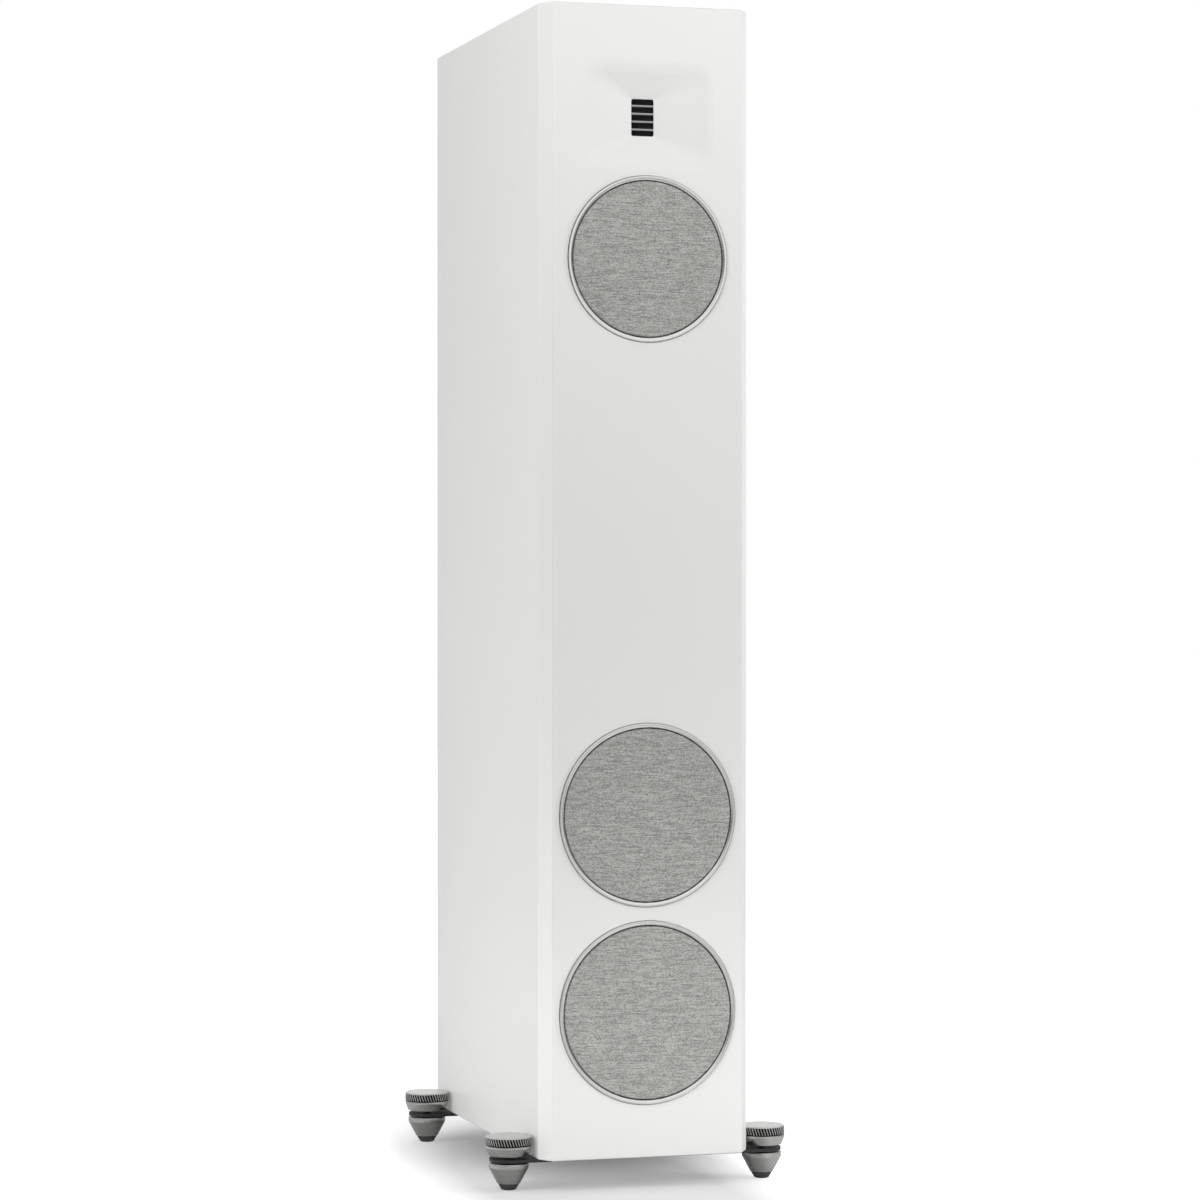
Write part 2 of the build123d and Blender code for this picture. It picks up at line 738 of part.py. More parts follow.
def grille_cloth(driver):
    """Cloth stretched over the frame's face and turned down over its rim."""
    cloth_front = cloth_inset - trim_stand
    cloth_back = cloth_front + cloth_thickness
    skirt_end = grille_ledge - 4 * seat_gap
    with BuildPart() as cloth:
        with BuildSketch(driver.section):
            with BuildLine():
                Polyline(
                    (0, cloth_front),
                    (driver.grille, cloth_front),
                    (driver.grille, skirt_end),
                    (driver.grille - cloth_skirt, skirt_end),
                    (driver.grille - cloth_skirt, cloth_back),
                    (0, cloth_back),
                    close=True,
                )
            make_face()
        revolve(axis=driver.axis)
        rim = cloth.faces().sort_by(Axis.Y)[0].edges()
        fillet(rim, cloth_thickness)
    return cloth.part


def motor_plates(driver):
    """The front pole plate, and the rear plate with its centre pole and vent."""
    gap_radius = driver.coil + cone_wall + coil_clearance
    pole_radius = driver.coil - coil_clearance
    plate_radius = driver.magnet - plate_inset
    magnet_back = driver.frame + driver.plate + driver.magnet_thickness
    with BuildPart() as steel:
        with BuildSketch(driver.section):
            with Locations(((gap_radius + plate_radius) / 2, driver.frame + driver.plate / 2)):
                Rectangle(plate_radius - gap_radius, driver.plate)
            with BuildLine():
                Polyline(
                    (pole_radius * pole_vent_share, driver.frame),
                    (pole_radius, driver.frame),
                    (pole_radius, magnet_back),
                    (plate_radius, magnet_back),
                    (plate_radius, magnet_back + driver.plate),
                    (pole_radius * pole_vent_share, magnet_back + driver.plate),
                    close=True,
                )
            make_face()
        revolve(axis=driver.axis)
    return steel.part


def motor_magnet(driver):
    """The ring magnet between the two plates."""
    inner = driver.coil + cone_wall + magnet_bore_gap
    with BuildPart() as ring:
        with BuildSketch(driver.face(driver.frame + driver.plate)):
            Circle(driver.magnet)
            Circle(inner, mode=Mode.SUBTRACT)
        extrude(amount=-driver.magnet_thickness)
    return ring.part


driver_pieces = (
    (trim_ring, "trim_ring"),
    (basket, "basket"),
    (surround, "surround"),
    (spider, "spider"),
    (cone, "cone"),
    (grille_frame, "grille_frame"),
    (grille_cloth, "grille_cloth"),
)
for driver in drivers:
    for make_piece, label in driver_pieces:
        save(make_piece(driver), f"{driver.name}_{label}")
save(Compound([motor_plates(driver) for driver in drivers]), "motor_plates")
save(Compound([motor_magnet(driver) for driver in drivers]), "motor_magnets")

# ---- Reflex ports ----------------------------------------------------------------------
for z, label in ((lower_port_z, "lower_reflex_port"), (upper_port_z, "upper_reflex_port")):
    # local x is the radius and local y the depth ahead of the rear face
    port_section = Plane(origin=(0, rear, z), x_dir=(1, 0, 0), z_dir=(0, 0, -1))
    mouth = port_radius + port_flare
    tube_outer = port_radius + port_wall
    bend = math.sqrt(0.5)
    with BuildPart() as port:
        with BuildSketch(port_section):
            with BuildLine():
                outer_flare = ThreePointArc(
                    (mouth, -trim_stand),
                    (mouth - port_flare * bend, port_flare * (1 - bend) - trim_stand),
                    (port_radius, port_flare - trim_stand),
                )
                inner_flare = ThreePointArc(
                    (port_radius, port_length - port_flare),
                    (mouth - port_flare * bend, port_length - port_flare * (1 - bend)),
                    (mouth, port_length),
                )
                Line(outer_flare @ 1, inner_flare @ 0)
                Polyline(
                    inner_flare @ 1,
                    (port_seat, port_length),
                    (tube_outer, port_length - port_flare - port_wall),
                    (tube_outer, wall + port_flare),
                    (port_seat, wall + port_wall),
                    (port_seat, 0),
                    (port_rim_radius, 0),
                    (port_rim_radius, -trim_stand),
                    outer_flare @ 0,
                )
            make_face()
        revolve(axis=Axis((0, rear, z), (0, 1, 0)))
        rim_edge = port.edges().filter_by(GeomType.CIRCLE).filter_by(
            lambda edge: abs(edge.radius - port_rim_radius) < 0.01
        ).sort_by(Axis.Y)[-1]
        fillet(rim_edge, trim_stand / 2)
    save(port.part, label)

# ---- Terminal cup and binding posts ------------------------------------------------------
with BuildPart() as terminal_cup:
    with BuildSketch(rear_plane(0, cup_z)):
        RectangleRounded(cup_width + 2 * cup_rim, cup_height + 2 * cup_rim, cup_rim_corner)
    extrude(amount=trim_stand)
    fillet(terminal_cup.faces().sort_by(Axis.Y)[-1].edges(), trim_stand / 2)
    with BuildSketch(rear_plane(0, cup_z)):
        RectangleRounded(
            cup_width + 2 * cup_wall, cup_height + 2 * cup_wall, cup_corner + cup_wall
        )
    extrude(amount=-cup_depth - cup_wall, taper=cup_draft)
    with BuildSketch(rear_plane(-trim_stand, cup_z)):
        RectangleRounded(cup_width, cup_height, cup_corner)
    extrude(amount=-cup_depth - trim_stand, taper=cup_draft, mode=Mode.SUBTRACT)
    with BuildSketch(rear_plane(cup_depth, cup_z)):
        with GridLocations(post_spacing, 0, 2, 1):
            Circle(post_radius + thread_gap)
    extrude(amount=-cup_wall, mode=Mode.SUBTRACT)
    with BuildSketch(rear_plane(-trim_stand, cup_z)):
        with GridLocations(cup_width + cup_rim, cup_height + cup_rim, 2, 2):
            Circle(cup_screw_radius)
    extrude(amount=-trim_stand, mode=Mode.SUBTRACT)
save(terminal_cup.part, "terminal_cup")

post_length = collar_length + washer_thickness + 2 * seat_gap + knob_length - post_recess
with BuildPart() as binding_posts:
    with BuildSketch(rear_plane(cup_depth, cup_z)):
        with GridLocations(post_spacing, 0, 2, 1):
            RegularPolygon(collar_radius, 6)
    extrude(amount=collar_length)
    with BuildSketch(rear_plane(cup_depth + cup_wall + post_tail, cup_z)):
        with GridLocations(post_spacing, 0, 2, 1):
            Circle(post_radius)
    extrude(amount=cup_wall + post_tail + post_length)
    # the clamping nut behind the cup's floor
    with BuildSketch(rear_plane(cup_depth + cup_wall, cup_z)):
        with GridLocations(post_spacing, 0, 2, 1):
            RegularPolygon(post_nut_radius, 6)
    extrude(amount=-post_nut_thickness)
    # the socket for a 4 mm plug
    with BuildSketch(rear_plane(cup_depth - post_length, cup_z)):
        with GridLocations(post_spacing, 0, 2, 1):
            Circle(socket_radius)
    extrude(amount=-socket_length, mode=Mode.SUBTRACT)
save(binding_posts.part, "binding_posts")

for side, colour in ((-1, "red"), (1, "black")):
    post_x = side * post_spacing / 2
    washer_depth = cup_depth - collar_length - seat_gap
    with BuildPart() as washer:
        with BuildSketch(Plane(origin=(post_x, rear - washer_depth, cup_z), x_dir=(-1, 0, 0),
                               z_dir=(0, 1, 0))):
            Circle(washer_radius)
            Circle(post_radius + 2 * thread_gap, mode=Mode.SUBTRACT)
        extrude(amount=washer_thickness)
    save(washer.part, f"{colour}_post_washer")

    knob_depth = washer_depth - washer_thickness
    with BuildPart() as knob:
        with BuildSketch(Plane(origin=(post_x, rear - knob_depth, cup_z), x_dir=(-1, 0, 0),
                               z_dir=(0, 1, 0))):
            Circle(knob_radius)
            with PolarLocations(knob_radius + knob_flute_offset, knob_flutes):
                Circle(knob_flute_radius, mode=Mode.SUBTRACT)
        extrude(amount=knob_length)
        with BuildSketch(Plane(origin=(post_x, rear - knob_depth, cup_z), x_dir=(-1, 0, 0),
                               z_dir=(0, 1, 0))):
            Circle(knob_radius)
        extrude(amount=knob_skirt)
        chamfer(knob.faces().sort_by(Axis.Y)[-1].edges(), knob_edge)
        with BuildSketch(Plane(origin=(post_x, rear - knob_depth, cup_z), x_dir=(-1, 0, 0),
                               z_dir=(0, 1, 0))):
            Circle(post_radius + thread_gap)
        extrude(amount=knob_length, mode=Mode.SUBTRACT)
    save(knob.part, f"{colour}_post_knob")

# ---- Crossover on the cabinet's floor ----------------------------------------------------
board_y = (baffle_back + rear_inside) / 2 + brace_border
board_z = underside + wall + board_stand
with BuildPart() as crossover_board:
    with BuildSketch(Plane.XY.offset(board_z)):
        with Locations((0, board_y)):
            Rectangle(board_width, board_depth)
    extrude(amount=board_thickness)
    with BuildSketch(Plane.XY.offset(board_z)):
        with Locations((0, board_y)):
            with GridLocations(
                board_width - 2 * board_inset, board_depth - 2 * board_inset, 2, 2
            ):
                Circle(pillar_radius)
    extrude(amount=-board_stand)
save(crossover_board.part, "crossover_board")

component_z = board_z + board_thickness
with BuildPart() as crossover_parts:
    # three air-core coils, four capacitors lying down and two block resistors
    for x, radius in coils:
        with BuildSketch(Plane.XY.offset(component_z)):
            with Locations((x, board_y + coil_row)):
                Circle(radius)
                Circle(radius * coil_bore_share, mode=Mode.SUBTRACT)
        extrude(amount=radius)
    for x, radius, length in capacitors:
        origin = (x, board_y + capacitor_start, component_z + radius)
        with BuildSketch(Plane(origin=origin, x_dir=(1, 0, 0), z_dir=(0, 1, 0))):
            Circle(radius)
        extrude(amount=length)
    for x in resistors:
        with BuildSketch(Plane.XY.offset(component_z)):
            with Locations((x, board_y + resistor_row)):
                Rectangle(resistor_size, resistor_length)
        extrude(amount=resistor_size)
save(crossover_parts.part, "crossover_parts")

# ---- Outriggers ------------------------------------------------------------------------
foot_x = half_width + foot_reach
front_foot_y = front + front_foot_inset
rear_foot_y = rear - rear_foot_inset
for y, label in ((front_foot_y, "front_outrigger"), (rear_foot_y, "rear_outrigger")):
    with BuildPart() as outrigger:
        with BuildSketch(Plane.XY.offset(underside - outrigger_thickness)):
            with Locations((0, y)):
                SlotCenterToCenter(2 * foot_x, outrigger_width)
            with Locations((-foot_x, y), (foot_x, y)):
                Circle(stud_radius + thread_gap, mode=Mode.SUBTRACT)
        extrude(amount=outrigger_thickness)
        with Locations(
            (-bolt_spacing / 2, y, underside - outrigger_thickness),
            (bolt_spacing / 2, y, underside - outrigger_thickness),
        ):
            Cone(
                bolt_head_radius, bolt_radius, bolt_head_depth,
                align=(Align.CENTER, Align.CENTER, Align.MIN), mode=Mode.SUBTRACT,
            )
            Cylinder(
                bolt_radius, outrigger_thickness,
                align=(Align.CENTER, Align.CENTER, Align.MIN), mode=Mode.SUBTRACT,
            )
    save(outrigger.part, label)

# ---- Feet: a fluted cap, a metal cone with its stud and a rubber tip -----------------------
outrigger_bottom = underside - outrigger_thickness
cone_top = outrigger_bottom - foot_drop_gap
cap_bottom = underside + foot_turn_gap
groove_bottom = cap_bottom + foot_taper_height + foot_land_height
flute_bottom = groove_bottom + foot_groove_height
cap_top = flute_bottom + foot_flute_height + foot_cap_edge
pivot_end = tip_height + pivot_length + thread_gap


def flute_cutter():
    """One slanted bar that cuts a finger flute in the side of a foot's cap."""
    pitch = 2 * math.pi * foot_cap_radius / foot_flute_count
    with BuildPart() as cutter:
        with BuildSketch(Plane.YZ.offset(foot_cap_radius - foot_flute_depth)):
            with Locations((0, flute_bottom + foot_flute_height / 2)):
                Rectangle(pitch / 2, foot_flute_height, rotation=foot_flute_slant)
        extrude(amount=2 * foot_flute_depth)
    return cutter.part


def foot_cap(x, y):
    """The cap is turned from above; its slanted flutes give the fingers a grip."""
    flute = flute_cutter()
    with BuildPart() as cap:
        with BuildSketch(Plane(origin=(x, y, 0), x_dir=(1, 0, 0), z_dir=(0, -1, 0))):
            with BuildLine():
                Polyline(
                    (0, cap_bottom + foot_cap_bore),
                    (stud_radius, cap_bottom + foot_cap_bore),
                    (stud_radius, cap_bottom),
                    (foot_waist_radius, cap_bottom),
                    (foot_cap_radius, cap_bottom + foot_taper_height),
                    (foot_cap_radius, groove_bottom),
                    (foot_cap_radius - foot_groove_depth, groove_bottom),
                    (foot_cap_radius - foot_groove_depth, flute_bottom),
                    (foot_cap_radius, flute_bottom),
                    (foot_cap_radius, cap_top - foot_cap_edge),
                    (foot_cap_radius - foot_cap_edge, cap_top),
                    (0, cap_top),
                    close=True,
                )
            make_face()
        revolve(axis=Axis((x, y, 0), (0, 0, 1)))
        with Locations((x, y, 0)):
            with PolarLocations(0, foot_flute_count):
                add(flute, mode=Mode.SUBTRACT)
    return cap.part


def foot_cone(x, y):
    """The turned cone with the stud that climbs through the outrigger into the cap."""
    with BuildPart() as body:
        with BuildSketch(Plane(origin=(x, y, 0), x_dir=(1, 0, 0), z_dir=(0, -1, 0))):
            with BuildLine():
                Polyline(
                    (0, pivot_end),
                    (pivot_radius + thread_gap, pivot_end),
                    (pivot_radius + thread_gap, tip_height),
                    (cone_end_radius, tip_height),
                    (cone_top_radius, cone_top - cone_rim_height),
                    (cone_top_radius, cone_top - foot_cap_edge / 2),
                    (cone_top_radius - foot_cap_edge / 2, cone_top),
                    (stud_radius, cone_top),
                    (stud_radius, cap_bottom + foot_cap_bore),
                    (0, cap_bottom + foot_cap_bore),
                    close=True,
                )
            make_face()
        revolve(axis=Axis((x, y, 0), (0, 0, 1)))
    return body.part


def foot_tip(x, y):
    """The rubber tip stands still on the floor while the foot turns on its pivot."""
    with BuildPart() as tip:
        with BuildSketch(Plane(origin=(x, y, 0), x_dir=(1, 0, 0), z_dir=(0, -1, 0))):
            with BuildLine():
                Polyline(
                    (0, 0),
                    (tip_bottom_radius - tip_edge, 0),
                    (tip_bottom_radius, tip_edge),
                    (tip_top_radius, tip_height),
                    (pivot_radius, tip_height),
                    (pivot_radius, tip_height + pivot_length),
                    (0, tip_height + pivot_length),
                    close=True,
                )
            make_face()
        revolve(axis=Axis((x, y, 0), (0, 0, 1)))
    return tip.part


for foot, x, y in (
    ("front_left", -foot_x, front_foot_y),
    ("front_right", foot_x, front_foot_y),
    ("rear_left", -foot_x, rear_foot_y),
    ("rear_right", foot_x, rear_foot_y),
):
    save(foot_cap(x, y), f"{foot}_foot_knob")
    save(foot_cone(x, y), f"{foot}_foot_cone")
    save(foot_tip(x, y), f"{foot}_foot_tip")


# ---- Fasteners ---------------------------------------------------------------------------
def countersunk(head_plane, head_radius, head_depth, shank_radius, length):
    """A countersunk screw with its head flush with a plane and its shank behind it."""
    with BuildPart() as screw:
        with BuildSketch(head_plane):
            Circle(shank_radius)
        extrude(amount=-length)
        with BuildSketch(head_plane):
            Circle(head_radius)
        with BuildSketch(head_plane.offset(-head_depth)):
            Circle(shank_radius)
        loft()
    return screw.part


screws = []
for driver in drivers:
    for index in range(frame_screw_count):
        angle = math.radians(30 + index * 360 / frame_screw_count)
        head_plane = Plane(
            origin=(
                driver.screw_circle * math.cos(angle),
                front + ring_depth,
                driver.z + driver.screw_circle * math.sin(angle),
            ),
            x_dir=(1, 0, 0),
            z_dir=(0, -1, 0),
        )
        with BuildPart() as frame_screw:
            with BuildSketch(head_plane):
                Circle(screw_radius)
            extrude(amount=-flange_thickness - screw_bite)
        screws.append(frame_screw.part)
for x in (-(cup_width + cup_rim) / 2, (cup_width + cup_rim) / 2):
    for z in (cup_z - (cup_height + cup_rim) / 2, cup_z + (cup_height + cup_rim) / 2):
        head_plane = Plane(origin=(x, rear + trim_stand, z), x_dir=(-1, 0, 0), z_dir=(0, 1, 0))
        with BuildPart() as cup_screw:
            with BuildSketch(head_plane):
                Circle(cup_screw_radius)
            extrude(amount=-trim_stand - screw_bite)
        screws.append(cup_screw.part)
for x in (-bolt_spacing / 2, bolt_spacing / 2):
    for y in (front_foot_y, rear_foot_y):
        head_plane = Plane(origin=(x, y, outrigger_bottom), x_dir=(1, 0, 0), z_dir=(0, 0, -1))
        screws.append(
            countersunk(
                head_plane, bolt_head_radius, bolt_head_depth, bolt_radius,
                outrigger_thickness + bolt_bite,
            )
        )
save(Compound(screws), "fixing_screws")
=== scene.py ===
"""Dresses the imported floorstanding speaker: turned trim, woven grilles, pleated tweeter,
drivers, rear fittings and screw feet, with a white studio stage."""

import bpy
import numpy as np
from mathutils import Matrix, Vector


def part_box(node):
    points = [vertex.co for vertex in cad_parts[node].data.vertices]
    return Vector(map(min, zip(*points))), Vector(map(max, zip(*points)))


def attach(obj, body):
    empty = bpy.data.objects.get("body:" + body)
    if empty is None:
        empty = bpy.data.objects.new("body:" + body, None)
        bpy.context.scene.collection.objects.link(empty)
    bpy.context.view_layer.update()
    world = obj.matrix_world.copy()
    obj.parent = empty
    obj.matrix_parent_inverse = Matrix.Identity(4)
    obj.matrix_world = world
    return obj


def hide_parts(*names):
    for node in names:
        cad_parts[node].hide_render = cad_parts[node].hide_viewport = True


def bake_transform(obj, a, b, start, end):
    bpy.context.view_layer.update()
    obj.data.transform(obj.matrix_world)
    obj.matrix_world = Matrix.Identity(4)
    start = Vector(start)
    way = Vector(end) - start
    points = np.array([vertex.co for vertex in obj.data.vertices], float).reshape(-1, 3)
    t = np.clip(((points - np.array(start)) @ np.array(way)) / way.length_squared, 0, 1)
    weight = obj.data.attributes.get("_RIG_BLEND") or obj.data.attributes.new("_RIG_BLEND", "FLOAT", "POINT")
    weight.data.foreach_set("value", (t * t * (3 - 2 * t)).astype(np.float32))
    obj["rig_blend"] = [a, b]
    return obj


bl_info = {
    "name": "Floorstanding speaker",
    "version": (1, 0, 0),
    "blender": (4, 5, 0),
    "location": "3D View > Sidebar > Speaker",
    "description": "Finishes the speaker's trim, grilles, drivers, rear fittings and feet",
    "category": "Object",
}

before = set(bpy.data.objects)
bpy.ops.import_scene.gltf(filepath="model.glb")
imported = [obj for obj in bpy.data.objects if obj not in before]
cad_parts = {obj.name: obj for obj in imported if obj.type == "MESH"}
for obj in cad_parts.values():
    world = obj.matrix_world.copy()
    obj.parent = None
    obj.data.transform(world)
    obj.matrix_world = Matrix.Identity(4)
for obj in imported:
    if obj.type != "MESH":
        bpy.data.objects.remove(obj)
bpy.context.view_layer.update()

import math

import bmesh
import bpy
import numpy as np
from bpy.props import FloatProperty, FloatVectorProperty, IntProperty, PointerProperty
from mathutils import Vector

DRIVERS = ("midrange", "upper_woofer", "lower_woofer")
FEET = ("front_left", "front_right", "rear_left", "rear_right")
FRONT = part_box("front_baffle")[0].y
RIGHT, DEPTH, UP = np.array((1.0, 0, 0)), np.array((0, 1.0, 0)), np.array((0, 0, 1.0))
TURN = 2 * math.pi
WELD = 1e-7              # metres within which two points of a mesh become one
TOUCH = 1e-6             # metres within which a point counts as lying on a surface
SLIVER = 0.0001          # metres, a gap or a step that is too small to see


# ---- Sizes and colours that a user can change ------------------------------------------

def length(name, description, default):
    return FloatProperty(name=name, description=description, default=default, min=0.0,
                         unit="LENGTH", precision=5)


def colour(name, description, default):
    return FloatVectorProperty(name=name, description=description, default=default,
                               subtype="COLOR", size=3, min=0.0, max=1.0)


def share(name, description, default):
    return FloatProperty(name=name, description=description, default=default, min=0.0,
                         max=1.0, subtype="FACTOR")


class CabinetSettings(bpy.types.PropertyGroup):
    lacquer: colour("Lacquer", "Colour of the satin lacquer", (0.80, 0.80, 0.785))
    gloss: share("Roughness", "Roughness of the lacquer", 0.42)
    grain: length("Grain", "Spacing of the sprayed texture", 0.0012)


class TrimSettings(bpy.types.PropertyGroup):
    face: length("Face", "Visible width of a trim ring", 0.0047)
    play: length("Play", "Gap between the ring and the recess round it", 0.0003)
    shoulder: length("Shoulder", "Width of the ring's rounded outer edge", 0.0006)
    crest: length("Crest", "Width of the ring's crest", 0.0008)
    fall: length("Fall", "How far the ring's inner edge lies behind the front", 0.0008)
    ledge: length("Ledge", "Depth of the grille's seat behind the front", 0.0049)
    ledge_width: length("Ledge width", "Width of the grille's seat", 0.0049)
    # painted shade: the ring's inner wall darkens to the seat, and the seat is dark
    painted_shade_edge: length("Dark edge", "Height over which the wall darkens to the seat", 0.0003)
    metal: colour("Metal", "Colour of the turned rings", (0.82, 0.82, 0.81))


class GrilleSettings(bpy.types.PropertyGroup):
    rim_round: length("Rim radius", "Radius where the cloth turns over the rim", 0.0019)
    cloth: length("Cloth", "Thickness of the cloth", 0.0007)
    skirt: length("Skirt", "Width of the edge that is turned in over the frame", 0.0005)
    # painted shade: the cloth's turned edge is darkened between these depths
    painted_shade_start: length("Dark start", "Depth at which the turned edge starts to darken", 0.0015)
    painted_shade_fade: length("Dark fade", "Further depth at which the turned edge is dark", 0.0008)
    thread: length("Thread", "Pitch of the cloth's threads", 0.0014)
    dark: colour("Dark yarn", "Colour of the darker yarns", (0.222, 0.225, 0.21))
    light: colour("Light yarn", "Colour of the slubs", (0.507, 0.511, 0.483))


class TweeterSettings(bpy.types.PropertyGroup):
    pleats: IntProperty(name="Pleats", description="Folds across the film", default=13, min=4)
    film: length("Film", "Thickness of the folded film", 0.0003)


class DriverSettings(bpy.types.PropertyGroup):
    roll_wall: length("Surround", "Thickness of the rubber half roll", 0.001)
    flattening: share("Roll height", "Height of the half roll over its half width", 0.9)
    skin: length("Cone skin", "Thickness of the cone", 0.0012)
    lip: length("Lip", "Width of the cone's flat lip under the surround", 0.003)
    former: length("Former", "Thickness of the voice coil's former", 0.0006)
    anodised: colour("Cone", "Colour of the anodised cones", (0.035, 0.035, 0.037))


class FootSettings(bpy.types.PropertyGroup):
    flutes: IntProperty(name="Flutes", description="Flutes round a foot's cap", default=50, min=8)
    flute_depth: length("Flute depth", "Depth of the slanted flutes", 0.0013)
    flute_height: length("Flute height", "Height of the fluted band", 0.0068)
    slant: FloatProperty(name="Slant", description="Lean of the flutes", default=0.314,
                         subtype="ANGLE")
    edge: length("Edge", "Bevel round the cap's top", 0.0012)
    groove: length("Groove", "Height of the turned groove under the flutes", 0.0012)
    groove_depth: length("Groove depth", "Depth of the turned groove", 0.0009)
    land: length("Land", "Height of the plain band under the groove", 0.002)
    taper: length("Taper", "Height of the cap's tapered foot", 0.0076)
    waist: length("Waist", "Radius at the bottom of the cap", 0.0197)
    rim: length("Rim", "Height of the cone's upright rim", 0.0048)
    cone_end: length("Cone end", "Radius of the cone above its rubber tip", 0.0112)
    tip_end: length("Tip end", "Radius of the rubber tip on the floor", 0.0064)
    stud: length("Stud", "Outer radius of the threaded stud", 0.004)
    pitch: length("Pitch", "Rise of the stud's thread in one turn", 0.00125)
    thread: share("Thread depth", "Depth of the stud's thread over its pitch", 0.6)
    gap: length("Gap", "Gap between the cone and the outrigger", 0.0015)
    metal: colour("Metal", "Colour of the satin gunmetal", (0.52, 0.515, 0.505))


class StageSettings(bpy.types.PropertyGroup):
    power: share("Power", "Share of every lamp's full power", 1.0)
    ambient: share("Ambient", "Even light from all round", 0.325)
    sides: share("Sides", "Brightness of the studio's sides as metal shows them", 0.16)


# depth of each cone's dish and inner radius of its voice coil's former, in metres
CONES = {"midrange": (0.020, 0.0126), "upper_woofer": (0.024, 0.0166),
         "lower_woofer": (0.024, 0.0166)}

# each lamp's place, what it faces, its width and height in metres and its power in watts;
# the strips light the ends of the front and the foot of the side, and cast no shadow
LAMPS = {
    "Left": ((-2.9, -1.2, 1.4), (0, 0, 0.6), (1.6, 1.6), 24.8),
    "Right": ((1.6, -0.8, 0.7), (0, 0, 0.6), (0.5, 0.5), 13.3),
    "High left": ((-1.0, -0.9, 1.7), (0, -0.1, 0.95), (0.4, 0.4), 5.8),
    "Top strip": ((0.0, -0.7, 1.3), (0, -0.2, 1.1), (0.9, 0.2), 0.75),
    "Top right": ((0.6, -0.65, 1.35), (0.1, -0.2, 1.1), (0.5, 0.2), 1.1),
    "Low strip": ((0.0, -0.55, 0.05), (0.0, -0.2, 0.07), (0.7, 0.1), 0.62),
    "Back": ((1.3, 2.2, 1.5), (0, 0, 0.6), (1.4, 1.4), 14.0),
    "Side strip": ((-0.62, 0, 0.08), (-0.1, 0, 0.12), (0.6, 0.1), 0.92),
}

# the floor's painted shadow, as two soft ovals, each by its offset and its scales: where
# the shadow ends and where it is deepest. The greys are pairs of a distance from the first
# oval's middle and the brightness there, for the floor's colour and for its painted glow
PAINTED_SHADOW_OVAL = ((0.197, 0.263, 0), (5.22, 1.575, 1))
PAINTED_SHADOW_CORE = ((-0.129, -0.242, 0), (3.497, 3.866, 1))
PAINTED_SHADOW_DEEPEST = 0.41           # share of the brightness left in the middle of the second oval
PAINTED_SHADOW_GREYS = ((0.6, 0.54), (0.85, 0.60), (1.0, 0.86))
PAINTED_GLOW_GREYS = ((0.6, 0.32), (0.91, 0.66), (1.0, 0.80))
FLOOR_HALF = 9.0         # metres

# where metal sees the studio as white: a direction and the cosines at which the white
# starts and is full
WHITE_WALLS = (((0, 0, 1), 0.15, 0.6), ((0, 1, 0), 0.3, 0.8), ((0.28, -0.96, 0), 0.75, 0.97))

# the camera's place in metres, and its lens and sensor in millimetres
CAMERA_PLACE = (-1.0876, -3.6783, 0.5919)
CAMERA_TURN = (math.radians(90 - 0.258), 0, math.radians(-16.663))
CAMERA_LENS, CAMERA_SENSOR, CAMERA_SHIFT = 112.24, 36.0, -0.0019


# ---- Surfaces ---------------------------------------------------------------------------

def rounded(corners, radii, steps=5):
    """An outline whose corners are arcs: each corner is cut back by radius over tan(half its
    angle), and the arc between the two cuts is a spherical blend of its end radii."""
    most, straight = 0.49, 1.5       # share of a side that an arc may take; half an angle
    corners = [np.array(corner, float) for corner in corners]
    outline = [corners[0]]
    for before, corner, after, radius in zip(corners, corners[1:], corners[2:], radii[1:-1]):
        back, ahead = before - corner, after - corner
        room = most * min(np.linalg.norm(back), np.linalg.norm(ahead))
        back, ahead = back / np.linalg.norm(back), ahead / np.linalg.norm(ahead)
        half = 0.5 * math.acos(float(np.clip(back @ ahead, -1, 1)))
        if radius <= 0 or half > straight:
            outline.append(corner)
            continue
        cut = min(radius / math.tan(half), room)
        middle = back + ahead
        centre = corner + middle / np.linalg.norm(middle) * cut / math.cos(half)
        first, last = corner + back * cut - centre, corner + ahead * cut - centre
        sweep = math.pi - 2 * half
        t = np.linspace(0, 1, steps + 1)[:, None]
        arc = (np.sin((1 - t) * sweep) * first + np.sin(t * sweep) * last) / math.sin(sweep)
        outline.extend(centre + arc)
    outline.append(corners[-1])
    return np.array(outline)


